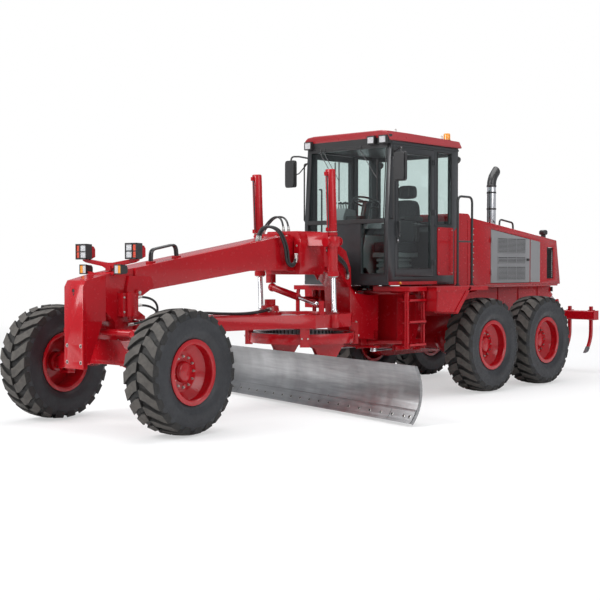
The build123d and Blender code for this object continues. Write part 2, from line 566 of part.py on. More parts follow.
def build_blade():
    ring = Cylinder(CIRCLE_RADIUS, CIRCLE_HIGH_Z - CIRCLE_LOW_Z, align=(Align.CENTER, Align.CENTER, Align.MIN))
    ring -= Cylinder(CIRCLE_BORE, CIRCLE_HIGH_Z - CIRCLE_LOW_Z, align=(Align.CENTER, Align.CENTER, Align.MIN))
    circle = Pos(0, 0, CIRCLE_LOW_Z) * ring
    for side in (1, -1):
        arm = side_plate([(-330, CIRCLE_LOW_Z + 20), (330, CIRCLE_LOW_Z + 20), (150, 740), (60, 560),
                          (TIP_X + 50, TIP_Z - 50), (TIP_X - 60, TIP_Z - 50), (-120, 520)], ARM_Y - 35, ARM_Y + 35)
        if side < 0:
            arm = mirror(arm, about=Plane.XZ)
        circle += arm
        circle -= rod((TIP_X, side * (ARM_Y - 60), TIP_Z), (TIP_X, side * (ARM_Y + 60), TIP_Z), 30 + RUN_FIT)
    circle += block(-330, -270, -ARM_Y, ARM_Y, CIRCLE_LOW_Z - 60, CIRCLE_LOW_Z + 20)
    save("circle", turned(circle))

    carrier = block(TIP_X - 30, TIP_X + 30, -ARM_Y + 60, ARM_Y - 60, TIP_Z - 30, TIP_Z + 30)
    board_back = blade_arc(BLADE_THICK)[1][0]
    rail_zs = (TIP_Z - 175, TIP_Z + 115)
    for side in (1, -1):
        hanger = side_plate([(TIP_X - 50, TIP_Z - 50), (board_back - 85, rail_zs[0] - 65), (board_back - 8, rail_zs[0] - 65),
                             (board_back - 8, rail_zs[1] + 65), (board_back - 85, rail_zs[1] + 65),
                             (TIP_X - 50, TIP_Z + 60)], ARM_Y - 105, ARM_Y - 36)
        if side < 0:
            hanger = mirror(hanger, about=Plane.XZ)
        carrier += hanger
        carrier += rod((TIP_X, side * (ARM_Y - 60), TIP_Z), (TIP_X, side * (ARM_Y + 55), TIP_Z), 30)
        for z in rail_zs:
            carrier -= block(board_back - 58, board_back + 100, -900, 900, z - 30 - SEAT_GAP, z + 30 + SEAT_GAP)
    save("blade_carrier", turned(carrier))

    y_low = BLADE_SHIFT - BLADE_LENGTH / 2
    y_high = BLADE_SHIFT + BLADE_LENGTH / 2
    board = blade_solid(0, BLADE_THICK, y_low, y_high)
    for z in rail_zs:
        board += block(board_back - 56, board_back + 70, y_low + 150, y_high - 150, z - 30, z + 30) - blade_solid(
            -400, BLADE_THICK / 2, y_low, y_high)
    save("moldboard", turned(board))

    edge = blade_solid(-EDGE_THICK - SEAT_GAP, -SEAT_GAP, y_low, y_high)
    edge &= block(-500, 1000, y_low, y_high, 0, BLADE_LOW_Z + EDGE_HEIGHT)
    save("cutting_edge", turned(edge))


def shift_pivot():
    """Saddle end of the circle shift cylinder."""
    return (3750, -250, 1520)


def shift_eye():
    """Drawbar end of the circle shift cylinder."""
    return (3750, 520, 1315)


def build_shift():
    start = Vector(*shift_pivot())
    end = Vector(*shift_eye())
    way = (end - start).normalized()
    gap_end = start + way * 480
    inner = start + way * 60
    barrel = rod(tuple(start), tuple(gap_end), 46)
    barrel -= rod(tuple(inner), tuple(gap_end), 28 + RUN_FIT)
    barrel += Pos(*start) * Sphere(58)
    save("shift_barrel", barrel)
    rod_from = start + way * 262
    bar = rod(tuple(rod_from), tuple(end), 28) + Pos(*end) * Sphere(36)
    save("shift_rod", bar)


# ---------------------------------------------------------------- rear frame and axle
def build_rear_frame():
    rail = side_plate([(FRAME_REAR_X, RAIL_LOW_Z), (1350, RAIL_LOW_Z), (1500, 705), (1700, 705), (1700, RAIL_HIGH_Z),
                       (FRAME_REAR_X, RAIL_HIGH_Z)], RAIL_Y - RAIL_HALF, RAIL_Y + RAIL_HALF)
    frame = rail + mirror(rail, about=Plane.XZ)
    frame += block(1480, 1850, -RAIL_Y, RAIL_Y, 705, RAIL_HIGH_Z - 30)
    hitch = [(1480, -420), (1800, -420), (2100, -150), (2150, 0), (2100, 150), (1800, 420), (1480, 420)]
    frame += top_plate(hitch, ARTIC_LOW_Z - HITCH_PLATE, ARTIC_LOW_Z)
    frame += top_plate(hitch, ARTIC_HIGH_Z, ARTIC_HIGH_Z + HITCH_PLATE)
    frame += rod((ARTIC_X, 0, ARTIC_LOW_Z - HITCH_PLATE - 20), (ARTIC_X, 0, ARTIC_HIGH_Z + HITCH_PLATE + 15),
                 ARTIC_PIN_RADIUS)
    frame += block(FRAME_REAR_X, FRAME_REAR_X + 120, -RAIL_Y, RAIL_Y, 860, RAIL_HIGH_Z)
    frame += block(-100, 100, -RAIL_Y, RAIL_Y, RAIL_LOW_Z, RAIL_LOW_Z + 60)
    for side in (1, -1):
        ear = side_plate([(RIPPER_PIVOT_X - 50, RIPPER_PIVOT_Z - 50), (FRAME_REAR_X + 60, RIPPER_PIVOT_Z - 60),
                          (FRAME_REAR_X + 60, RIPPER_PIVOT_Z + 120), (RIPPER_PIVOT_X - 50, RIPPER_PIVOT_Z + 50)], 270, 310)
        frame += on_side(ear, side)
        bracket = block(1300, 1420, ARTIC_ROD_Y - 60, ARTIC_ROD_Y + 60, ARTIC_ROD_Z - 50, 720)
        bracket += block(1300, 1560, ARTIC_ROD_Y - 60, ARTIC_ROD_Y + 60, 700, 760)
        frame += on_side(bracket, side)
    mast = side_plate([(FRAME_REAR_X + 20, 1300), (FRAME_REAR_X + 20, 1470), (FRAME_REAR_X - 6, 1500),
                       (FRAME_REAR_X - 6, 1570), (FRAME_REAR_X - 70, 1570), (FRAME_REAR_X - 70, 1420)], 170, 230)
    frame += mast
    for side in (1, -1):
        frame -= rod((RIPPER_PIVOT_X, side * 250, RIPPER_PIVOT_Z), (RIPPER_PIVOT_X, side * 330, RIPPER_PIVOT_Z),
                     28 + RUN_FIT)
    save("rear_frame", frame)


def build_rear_axle():
    outline = []
    case = None
    for x in (TANDEM_PITCH / 2, -TANDEM_PITCH / 2):
        end = rod((x, CASE_IN_Y, TYRE_RADIUS), (x, CASE_OUT_Y, TYRE_RADIUS), CASE_END_RADIUS)
        case = end if case is None else case + end
    case += block(-TANDEM_PITCH / 2, TANDEM_PITCH / 2, CASE_IN_Y, CASE_OUT_Y, TYRE_RADIUS - CASE_END_RADIUS,
                  TYRE_RADIUS + CASE_END_RADIUS)
    for x in (TANDEM_PITCH / 2, -TANDEM_PITCH / 2):
        hub_in = HALF_TRACK - 70 - SWING_GAP
        case += rod((x, CASE_OUT_Y - 20, TYRE_RADIUS), (x, hub_in, TYRE_RADIUS), 120)
        case += rod((x, CASE_OUT_Y - 20, TYRE_RADIUS), (x, HALF_TRACK + SHAFT_END, TYRE_RADIUS), SHAFT_RADIUS)
    housing = rod((0, -CASE_IN_Y - 20, TYRE_RADIUS), (0, CASE_IN_Y + 20, TYRE_RADIUS), 170)
    housing += Pos(0, 0, TYRE_RADIUS) * Sphere(240)
    housing += block(-200, 200, -420, 420, TYRE_RADIUS + 60, RAIL_LOW_Z - SEAT_GAP)
    save("rear_axle", case + mirror(case, about=Plane.XZ) + housing)


def build_rear_cylinders():
    pieces = []
    for side in (1, -1):
        y = side * ARTIC_ROD_Y
        barrel = rod((1420 + SEAT_GAP, y, ARTIC_ROD_Z), (1880, y, ARTIC_ROD_Z), 45)
        barrel -= rod((1500, y, ARTIC_ROD_Z), (1880, y, ARTIC_ROD_Z), 24 + RUN_FIT)
        pieces.append(barrel)
        bar = rod((1560 + 140, y, ARTIC_ROD_Z), (ARTIC_EYE_X, y, ARTIC_ROD_Z), 24)
        bar += rod((ARTIC_EYE_X, y, ARTIC_ROD_Z - 27), (ARTIC_EYE_X, y, ARTIC_ROD_Z + 27), 42)
        save(f"articulation_rod_{'left' if side > 0 else 'right'}", bar)
    start = Vector(FRAME_REAR_X - 102, 200, 1500)
    end = Vector(-2860, 200, 1205)
    way = (end - start).normalized()
    barrel = rod(tuple(start), tuple(start + way * 340), 42)
    barrel -= rod(tuple(start + way * 30), tuple(start + way * 340), 22 + RUN_FIT)
    pieces.append(barrel)
    save("rear_cylinders", *pieces)
    bar = rod(tuple(start + way * 160), tuple(end), 22)
    bar += rod((end.X, 168, end.Z), (end.X, 232, end.Z), 32)
    save("ripper_rod", bar)


# ---------------------------------------------------------------- cab
def cab_outline(inset):
    """Side outline of the cab in (x, z), moved in by inset."""
    return [(CAB_REAR_X + inset, CAB_FLOOR_Z - 60 + inset), (CAB_FRONT_X - inset, CAB_FLOOR_Z - 60 + inset),
            (CAB_FRONT_X - inset, 2400), (CAB_FRONT_X - 70 - inset, CAB_TOP_Z - inset),
            (CAB_REAR_X - 100 + inset, CAB_TOP_Z - inset), (CAB_REAR_X - 100 + inset, 2380),
            (CAB_REAR_X + inset, 2300)]


def build_cab():
    shell = side_plate(cab_outline(0), -CAB_HALF, CAB_HALF)
    shell -= side_plate(cab_outline(CAB_WALL), -CAB_HALF + CAB_WALL, CAB_HALF - CAB_WALL)
    door_hole = block(DOOR_REAR_X, DOOR_FRONT_X, 0, CAB_HALF + 10, DOOR_LOW_Z, DOOR_HIGH_Z)
    shell -= door_hole
    shell -= mirror(door_hole, about=Plane.XZ)
    side_window = block(CAB_REAR_X + 80, DOOR_REAR_X - 90, 0, CAB_HALF + 10, 2400, 3400)
    shell -= side_window
    shell -= mirror(side_window, about=Plane.XZ)
    shell -= block(2100, CAB_FRONT_X + 50, -CAB_HALF + 70, CAB_HALF - 70, 2440, 3400)
    shell -= block(2100, CAB_FRONT_X + 50, -CAB_HALF + 70, -280, 1700, 2380)
    shell -= block(2100, CAB_FRONT_X + 50, 280, CAB_HALF - 70, 1700, 2380)
    shell -= block(CAB_REAR_X - 200, CAB_REAR_X + 200, -CAB_HALF + 90, CAB_HALF - 90, 2450, 3380)
    for x in (CAB_REAR_X + 80, 1700):
        for side in (1, -1):
            mount_low = RAIL_HIGH_Z + SEAT_GAP
            shell += block(x, x + 120 if x < 1500 else x, side * RAIL_Y - 40, side * RAIL_Y + 40, mount_low,
                           CAB_FLOOR_Z - 40) if x < 1500 else block(
                1580, 1690, side * RAIL_Y - 40, side * RAIL_Y + 40, mount_low, CAB_FLOOR_Z - 40)
    save("cab_shell", shell)

    roof = block(CAB_REAR_X - 130, CAB_FRONT_X - 40, -CAB_HALF - 30, CAB_HALF + 30, CAB_TOP_Z + SEAT_GAP,
                 CAB_TOP_Z + ROOF_RISE)
    roof = chamfer(roof.edges().group_by(Axis.Z)[-1], 60)
    save("cab_roof", roof)

    panes = []
    for side in (1, -1):
        pane = block(CAB_REAR_X + 80 + SEAT_GAP, DOOR_REAR_X - 90 - SEAT_GAP, CAB_HALF - 40, CAB_HALF - 40 + GLASS,
                     2400 + SEAT_GAP, 3400 - SEAT_GAP)
        panes.append(on_side(pane, side))
    lean = math.atan2(70, CAB_TOP_Z - 2400)
    inset = 35
    x_low = CAB_FRONT_X - inset - 40 * math.tan(lean)
    x_high = CAB_FRONT_X - inset - 1000 * math.tan(lean)
    panes.append(side_plate([(x_low, 2440 + SEAT_GAP), (x_low + GLASS, 2440 + SEAT_GAP),
                             (x_high + GLASS, 3400 - SEAT_GAP), (x_high, 3400 - SEAT_GAP)],
                            -CAB_HALF + 70 + SEAT_GAP, CAB_HALF - 70 - SEAT_GAP))
    for y_from, y_to in ((-CAB_HALF + 70, -280), (280, CAB_HALF - 70)):
        panes.append(block(CAB_FRONT_X - inset, CAB_FRONT_X - inset + GLASS, y_from + SEAT_GAP, y_to - SEAT_GAP,
                           1700 + SEAT_GAP, 2380 - SEAT_GAP))
    panes.append(block(CAB_REAR_X - 70, CAB_REAR_X - 70 + GLASS, -CAB_HALF + 90 + SEAT_GAP, CAB_HALF - 90 - SEAT_GAP,
                       2450 + SEAT_GAP, 3380 - SEAT_GAP))
    save("cab_glass", *panes)

    for side, side_name in ((1, "left"), (-1, "right")):
        x_from = DOOR_REAR_X + DOOR_GAP
        x_to = DOOR_FRONT_X - DOOR_GAP
        y_in = CAB_HALF - DOOR_THICK
        door = block(x_from, x_to, y_in, CAB_HALF, DOOR_LOW_Z + DOOR_GAP, DOOR_HIGH_Z - DOOR_GAP)
        hole = block(x_from + 70, x_to - 70, y_in - 10, CAB_HALF + 10, DOOR_LOW_Z + 120, DOOR_HIGH_Z - 90)
        door -= hole
        door += block(x_to - 60, x_to - 30, CAB_HALF, CAB_HALF + 40, 2200, 2400)
        for z in (1850, 2550, 3250):
            door += rod((DOOR_REAR_X + 2, CAB_HALF + 14.5, z - 40), (DOOR_REAR_X + 2, CAB_HALF + 14.5, z + 40), 14)
            door += block(DOOR_REAR_X + 2, x_from + 40, CAB_HALF, CAB_HALF + 8, z - 40, z + 40)
        save(f"door_{side_name}", on_side(door, side))
        pane = block(x_from + 70 + SEAT_GAP, x_to - 70 - SEAT_GAP, y_in + 18, y_in + 18 + GLASS,
                     DOOR_LOW_Z + 120 + SEAT_GAP, DOOR_HIGH_Z - 90 - SEAT_GAP)
        save(f"door_{side_name}_glass", on_side(pane, side))


def build_cab_inside():
    floor = CAB_FLOOR_Z + SEAT_GAP
    seat = block(1230, 1640, -190, 190, floor, 2120) + block(1180, 1700, -260, 260, 2120, 2270)
    seat += side_plate([(1180, 2150), (1300, 2150), (1230, 2900), (1120, 2900)], -240, 240)
    seat += side_plate([(1120, 2860), (1225, 2860), (1205, 3070), (1125, 3070)], -140, 140)
    save("seat", seat)
    column = rod((2330, 0, floor - 60), (2110, 0, 2600), 60)
    column += rod((2110, 0, 2600), (2070, 0, 2702), 28)
    wheel_place_ = Plane(origin=(2075, 0, 2700), z_dir=(-0.37, 0, 0.93)).location
    column += wheel_place_ * Torus(190, 14)
    for angle in (0, 120, 240):
        column += wheel_place_ * Rot(0, 0, angle) * Pos(95, 0, 0) * Box(190, 26, 14)
    column += block(2180, 2470, -330, 330, 2330, 2400)
    column -= block(2000, 2500, -200, 200, floor - 200, floor)
    save("cab_controls", column)


# ---------------------------------------------------------------- hood and what stands on the rear
def hood_outline(inset):
    return [(HOOD_REAR_LOW_X + inset, HOOD_LOW_Z - 1 if inset else HOOD_LOW_Z), (HOOD_FRONT_X - inset, HOOD_LOW_Z - 1 if inset else HOOD_LOW_Z),
            (HOOD_FRONT_X - inset, HOOD_FRONT_Z - inset), (HOOD_REAR_TOP_X + inset, HOOD_REAR_Z - inset)]


def build_hood():
    hood = side_plate(hood_outline(0), -HOOD_HALF, HOOD_HALF)
    hood -= side_plate(hood_outline(HOOD_WALL), -HOOD_HALF + HOOD_WALL, HOOD_HALF - HOOD_WALL)
    top_slope = (HOOD_FRONT_Z - HOOD_REAR_Z) / (HOOD_FRONT_X - HOOD_REAR_TOP_X)
    bay_front_z = HOOD_FRONT_Z - (HOOD_FRONT_X - BAY_FRONT_X) * top_slope - 90
    bay_rear_z = HOOD_FRONT_Z - (HOOD_FRONT_X - BAY_REAR_X) * top_slope - 90
    bay = [(BAY_REAR_X, HOOD_LOW_Z + 30), (BAY_FRONT_X, HOOD_LOW_Z + 30), (BAY_FRONT_X, bay_front_z),
           (BAY_REAR_X, bay_rear_z)]
    hood -= side_plate(bay, -HOOD_HALF - 5, HOOD_HALF + 5)
    hood -= block(-2100, -1900, -HOOD_HALF - 5, HOOD_HALF + 5, 1600, 2110)
    for y in range(-420, 421, 120):
        hood -= block(-2500, -2150, y, y + 90, 1620, 2120)
    rails = [(-1, 1), (1, 1)]
    for side, _ in rails:
        flange = block(HOOD_REAR_LOW_X + 60, HOOD_FRONT_X - 60, RAIL_Y - 40, HOOD_HALF - 10, RAIL_HIGH_Z + SEAT_GAP,
                       HOOD_LOW_Z + 15)
        hood += on_side(flange, side)
    save("hood", hood)

    for side, side_name in ((1, "left"), (-1, "right")):
        panel = side_plate([(BAY_REAR_X + DOOR_GAP, HOOD_LOW_Z + 30 + DOOR_GAP),
                            (BAY_FRONT_X - DOOR_GAP, HOOD_LOW_Z + 30 + DOOR_GAP),
                            (BAY_FRONT_X - DOOR_GAP, bay_front_z - DOOR_GAP - 1),
                            (BAY_REAR_X + DOOR_GAP, bay_rear_z - DOOR_GAP)], HOOD_HALF - HOOD_WALL, HOOD_HALF)
        for z in (1700, 2200):
            panel += rod((BAY_FRONT_X - 2, HOOD_HALF + 12.5, z - 40), (BAY_FRONT_X - 2, HOOD_HALF + 12.5, z + 40), 12)
            panel += block(BAY_FRONT_X - 60, BAY_FRONT_X - 2, HOOD_HALF, HOOD_HALF + 8, z - 40, z + 40)
        save(f"engine_door_{side_name}", on_side(panel, side))

    inner = RAIL_Y - RAIL_HALF - SEAT_GAP
    save("engine", block(-1900, -250, -inner, inner, 1160, 2080))

    tank = side_plate([(HOOD_FRONT_X + 40, HOOD_LOW_Z), (770, HOOD_LOW_Z), (770, 2460), (700, 2560),
                       (HOOD_FRONT_X + 110, 2580), (HOOD_FRONT_X + 40, 2500)], -HOOD_HALF, HOOD_HALF)
    for side in (1, -1):
        tank += block(HOOD_FRONT_X + 60, 750, side * RAIL_Y - 40, side * RAIL_Y + 40, RAIL_HIGH_Z + SEAT_GAP,
                      HOOD_LOW_Z + 10)
    save("fluid_tank", tank)

    base_z = HOOD_FRONT_Z - (HOOD_FRONT_X + 900) * top_slope
    stack = pipe([(-900, 200, base_z + 10), (-900, 200, 3240), (-1010, 200, 3400)], 62, 120)
    flange = block(-990, -810, 110, 290, base_z - 60, base_z + 60) - side_plate(
        [(-1100, 1900), (-700, 1900), (-700, base_z + 200 * top_slope + SEAT_GAP),
         (-1100, base_z - 200 * top_slope + SEAT_GAP)], 0, 400)
    save("exhaust", stack + flange)


def build_platforms():
    pieces = []
    for side in (1, -1):
        deck = block(800, 2080, CAB_HALF + 20, 1200, RAIL_HIGH_Z + 10, RAIL_HIGH_Z + 45)
        skirt = side_plate([(1260, 1500), (1560, 1160), (2060, 1190), (2060, 1500)], 1160, 1200)
        slope = side_plate([(1240, 1490), (1270, 1520), (1600, 1175), (1560, 1150)], 860, 1200)
        step = block(1400, 2060, 420.3, CAB_HALF + 60, RAIL_HIGH_Z - 60, RAIL_HIGH_Z + 45)
        ladder = block(2060, 2090, 960, 1040, 700, 1525) + block(2430, 2460, 960, 1040, 700, 1525)
        for z in (720, 1030, 1320):
            ladder += block(2070, 2450, 930, 1040, z - 12, z + 12)
        ladder += block(2060, 2460, 420.3, 1040, 1490, 1525)
        piece = deck + skirt + slope + step + ladder
        pieces.append(on_side(piece, side))
    for side in (1, -1):
        pieces.append(on_side(block(1420, 1680, 420.3, 560, 1000, 1400), side))
    save("platforms", pieces[0], pieces[1])


def build_handrails():
    pieces = []
    for side in (1, -1):
        y = side * 950
        pieces.append(pipe([(840, y, 1525.3), (840, y, 2790), (1200, y, 2790), (1200, y, 1525.3)], 17, 70))
    save("handrails", *pieces)


def build_mirrors():
    left = block(2420, 2480, CAB_HALF + SEAT_GAP, CAB_HALF + 18, 3260, 3340)
    left += pipe([(2450, CAB_HALF + 10, 3300), (2620, 1000, 3340), (2900, 1240, 3340), (2930, 1290, 3260)], 13, 60)
    left += block(2905, 2955, 1200, 1390, 2890, 3270)
    save("mirrors", left, mirror(left, about=Plane.XZ))


def build_lamps():
    top = CAB_TOP_Z + ROOF_RISE
    pieces = []
    for y in (-698, -530, 530, 698):
        pieces.append(block(CAB_FRONT_X - 40 + SEAT_GAP, 2590, y - 60, y + 60, CAB_TOP_Z + 10, CAB_TOP_Z + 90))
    beacon = Pos(1000, 560, top + SEAT_GAP) * Cylinder(50, 110, align=(Align.CENTER, Align.CENTER, Align.MIN))
    pieces.append(beacon)
    save("lamps", *pieces)


def build_ripper():
    half = 950
    beam = block(-3000, -2840, -half, half, 900, 1050)
    for side in (1, -1):
        arm = side_plate([(RIPPER_PIVOT_X, RIPPER_PIVOT_Z + 45), (-2850, 1040), (-2850, 910),
                          (RIPPER_PIVOT_X, RIPPER_PIVOT_Z - 45), (RIPPER_PIVOT_X + 40, RIPPER_PIVOT_Z - 20),
                          (RIPPER_PIVOT_X + 40, RIPPER_PIVOT_Z + 20)], 311, 350)
        arm += rod((RIPPER_PIVOT_X, 265, RIPPER_PIVOT_Z), (RIPPER_PIVOT_X, 345, RIPPER_PIVOT_Z), 28)
        beam += on_side(arm, side)
    for index in range(5):
        y = (index - 2) * 400
        shank = side_plate([(-3060, 1110), (-3001, 1110), (-3001, 700), (-2880, 420), (-2820, 350), (-2900, 380),
                            (-3060, 680)], y - 25, y + 25)
        shank += block(-3060, -2990, y - 25, y + 25, 900, 1050)
        beam += shank
    beam += side_plate([(-2940, 1040), (-2841, 1040), (-2825, 1240), (-2895, 1240)], 232 + SEAT_GAP, 262)
    save("ripper", beam)


build_wheels()
build_front_axle()
build_steering_rod()
build_lean()
build_knuckles()
build_front_frame()
build_push_plate()
build_head_lamps()
build_lift()
build_hoses()
build_drawbar()
build_blade()
build_shift()
build_rear_frame()
build_rear_axle()
build_rear_cylinders()
build_cab()
build_cab_inside()
build_hood()
build_platforms()
build_handrails()
build_mirrors()
build_lamps()
build_ripper()
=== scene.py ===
import math

import bmesh
import bpy
from mathutils import Matrix, Vector


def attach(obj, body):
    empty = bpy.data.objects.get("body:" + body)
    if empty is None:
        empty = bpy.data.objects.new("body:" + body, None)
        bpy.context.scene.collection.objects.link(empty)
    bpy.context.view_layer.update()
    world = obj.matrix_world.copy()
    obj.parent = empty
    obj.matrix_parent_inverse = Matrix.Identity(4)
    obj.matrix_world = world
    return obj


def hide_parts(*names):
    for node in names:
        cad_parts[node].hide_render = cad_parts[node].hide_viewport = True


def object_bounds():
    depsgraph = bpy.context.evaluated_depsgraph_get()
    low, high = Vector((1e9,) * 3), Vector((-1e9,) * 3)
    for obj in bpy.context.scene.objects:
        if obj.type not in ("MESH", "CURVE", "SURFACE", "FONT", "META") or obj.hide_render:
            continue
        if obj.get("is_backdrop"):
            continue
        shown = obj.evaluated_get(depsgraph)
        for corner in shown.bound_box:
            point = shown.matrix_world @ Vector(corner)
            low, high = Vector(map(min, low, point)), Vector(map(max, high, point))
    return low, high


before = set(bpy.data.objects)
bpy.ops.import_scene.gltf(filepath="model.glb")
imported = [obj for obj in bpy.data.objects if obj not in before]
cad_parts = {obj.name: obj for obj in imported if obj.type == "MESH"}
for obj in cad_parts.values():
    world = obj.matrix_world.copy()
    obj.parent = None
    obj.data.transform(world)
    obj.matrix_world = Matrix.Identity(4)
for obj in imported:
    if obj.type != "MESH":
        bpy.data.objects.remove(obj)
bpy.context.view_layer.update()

# ---------------------------------------------------------------- studio
# A pale seamless floor and a white surround, with broad soft lamps overhead and in front. None
# of it belongs to the machine.
MM = 0.001
FLOOR_HALF = 150
FLOOR_MIDDLE = (2.4, 0.0, 0.0)
EYE = (14.762, 10.143, 1.782)
EYE_HEADING, EYE_PITCH = math.radians(221.964), math.radians(-1.628)

scene = bpy.context.scene
scene.view_settings.view_transform = "Standard"


def put(name, data):
    """A new object in the scene, at the origin."""
    made = bpy.data.objects.new(name, data)
    scene.collection.objects.link(made)
    return made


def aimed(way):
    return Vector(way).to_track_quat("-Z", "Y").to_euler()


def node(tree, kind, **inputs):
    """A node with some of its settings and inputs set or linked. in_2 is the input at index 2."""
    made = tree.nodes.new(kind)
    for key, value in inputs.items():
        if hasattr(made, key):
            setattr(made, key, value)
            continue
        slot = made.inputs[int(key[3:])] if key.startswith("in_") else made.inputs[key.replace("_", " ")]
        if isinstance(value, bpy.types.NodeSocket):
            tree.links.new(value, slot)
        else:
            slot.default_value = value
    return made


def math_node(tree, operation, a, b):
    return node(tree, "ShaderNodeMath", operation=operation, in_0=a, in_1=b).outputs[0]


def empty_tree(owner):
    owner.use_nodes = True
    owner.node_tree.nodes.clear()
    return owner.node_tree


camera = bpy.data.cameras.new("camera")
camera.sensor_width, camera.lens, camera.clip_end = 36, 68.746, 400
eye = put("camera", camera)
eye.location = EYE
eye.rotation_euler = aimed((math.cos(EYE_PITCH) * math.cos(EYE_HEADING), math.cos(EYE_PITCH) * math.sin(EYE_HEADING),
                            math.sin(EYE_PITCH)))
scene.camera = eye

scene.world = bpy.data.worlds.new("surround")
tree = empty_tree(scene.world)
ray = node(tree, "ShaderNodeLightPath")
seen = math_node(tree, "MAXIMUM", ray.outputs["Is Camera Ray"], ray.outputs["Is Transmission Ray"])
soft = node(tree, "ShaderNodeBackground", Color=(0.93, 0.95, 1.0, 1), Strength=0.5)
white = node(tree, "ShaderNodeBackground", Color=(1, 1, 1, 1), Strength=1.0)
mixed = node(tree, "ShaderNodeMixShader", in_0=seen, in_1=soft.outputs[0], in_2=white.outputs[0])
node(tree, "ShaderNodeOutputWorld", Surface=mixed.outputs[0])

paper = bpy.data.materials.new("pale_floor")
tree = empty_tree(paper)
lit = node(tree, "ShaderNodeBsdfDiffuse", Color=(0.86, 0.86, 0.86, 1))
glow = node(tree, "ShaderNodeEmission", Color=(1, 1, 1, 1), Strength=1.0)
away = node(tree, "ShaderNodeVectorMath", operation="DISTANCE", in_1=FLOOR_MIDDLE,
            in_0=node(tree, "ShaderNodeTexCoord").outputs["Object"]).outputs["Value"]
far = node(tree, "ShaderNodeMapRange", Value=away, From_Min=7.0, From_Max=22.0, To_Min=0.5, To_Max=1.0).outputs[0]
share = math_node(tree, "MULTIPLY", node(tree, "ShaderNodeLightPath").outputs["Is Camera Ray"], far)
mixed = node(tree, "ShaderNodeMixShader", in_0=share, in_1=lit.outputs[0], in_2=glow.outputs[0])
node(tree, "ShaderNodeOutputMaterial", Surface=mixed.outputs[0])
sheet = bpy.data.meshes.new("floor")
sheet.from_pydata([(x * FLOOR_HALF, y * FLOOR_HALF, 0) for x, y in ((-1, -1), (1, -1), (1, 1), (-1, 1))], [],
                  [(0, 1, 2, 3)])
sheet.materials.append(paper)
put("floor", sheet)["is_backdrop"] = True

for name, place, aim, size, power in (
        ("key", (15, -3, 9), (4, 0, 1), 7, 1150),
        ("side", (6, 15, 8), (2, 0, 1.2), 9, 620),
        ("top", (2, 0, 13), (2, 0, 0), 12, 1250),
        ("back", (-12, -8, 7), (0, 0, 1.5), 7, 450)):
    lamp = bpy.data.lights.new(name, "AREA")
    lamp.size, lamp.energy = size, power
    holder = put(name, lamp)
    holder.location = place
    holder.rotation_euler = aimed(Vector(aim) - Vector(place))


# ---------------------------------------------------------------- rear frame
# The rear frame is welded plate and box rail under a glossy deep red enamel. The coat drifts
# slightly in shade, has a faint orange peel and gathers a little dust low down.
DUST = (0.21, 0.17, 0.13, 1)
BOTH = (-1, 1)               # the right side, then the left, which draws unmirrored
SIDES = (("left", 1), ("right", -1))


def blank(name):
    """A new material, its tree and the place on the piece that its textures read."""
    material = bpy.data.materials.new(name)
    tree = empty_tree(material)
    return material, tree, node(tree, "ShaderNodeTexCoord").outputs["Object"]


def shade_with(tree, **inputs):
    shader = node(tree, "ShaderNodeBsdfPrincipled", **inputs)
    node(tree, "ShaderNodeOutputMaterial", Surface=shader.outputs[0])


def drift(tree, place, scale, low, high, detail=4.0):
    """Slow noise stretched to run from low to high."""
    noise = node(tree, "ShaderNodeTexNoise", Vector=place, Scale=scale, Detail=detail)
    return node(tree, "ShaderNodeMapRange", Value=noise.outputs[0], From_Min=0.32, From_Max=0.68, To_Min=low,
                To_Max=high).outputs[0]


def blend(tree, share, first, second):
    """Colour between two, each a socket or a colour."""
    mix = node(tree, "ShaderNodeMix", data_type="RGBA")
    for slot, value in ((0, share), (6, first), (7, second)):
        if isinstance(value, bpy.types.NodeSocket):
            tree.links.new(value, mix.inputs[slot])
        else:
            mix.inputs[slot].default_value = (*value, 1)[:4]
    return mix.outputs[2]


def dimmer(colour, share):
    return tuple(c * share for c in colour)


def bumps(tree, strength, distance, height):
    return node(tree, "ShaderNodeBump", Strength=strength, Distance=distance, Height=height).outputs[0]


def turned_place(tree, place, turn, scale):
    return node(tree, "ShaderNodeMapping", Vector=place, Rotation=(0, 0, turn), Scale=scale).outputs[0]


def enamel(name, colour, shade, rough, dust, coat=0.5, dust_top=0.9, mirror=0.5, studs=False):
    """Sprayed enamel, dusty below dust_top metres, smooth or on plate with raised studs."""
    material, tree, place = blank(name)
    tone = blend(tree, drift(tree, place, 1.7, 0.0, 1.0), colour, shade)
    height = node(tree, "ShaderNodeSeparateXYZ", Vector=place).outputs[2]
    low_down = node(tree, "ShaderNodeMapRange", Value=height, From_Min=dust_top, From_Max=0.1, To_Min=0.15,
                    To_Max=1.0).outputs[0]
    tone = blend(tree, math_node(tree, "MULTIPLY", low_down, drift(tree, place, 9, 0.0, dust, 8.0)), tone, DUST)
    if studs:
        checks = turned_place(tree, place, math.radians(45), (34, 34, 34))
        peel = bumps(tree, 0.5, 0.002, node(tree, "ShaderNodeTexChecker", Vector=checks, Scale=1.0).outputs["Fac"])
    else:
        fine = node(tree, "ShaderNodeTexNoise", Vector=place, Scale=420, Detail=2.0).outputs[0]
        peel = bumps(tree, 0.02, 0.0004, fine)
    shade_with(tree, Base_Color=tone, Roughness=drift(tree, place, 23, rough - 0.06, rough + 0.07), Normal=peel,
               Coat_Weight=coat, Coat_Roughness=0.08, Specular_IOR_Level=mirror)
    return material


def bright(name, colour, rough):
    """Ground, plated or polished metal."""
    material, tree, place = blank(name)
    tone = blend(tree, drift(tree, place, 12, 0.0, 1.0), colour, dimmer(colour, 0.9))
    shade_with(tree, Base_Color=tone, Metallic=1.0, Roughness=drift(tree, place, 60, rough - 0.03, rough + 0.04))
    return material


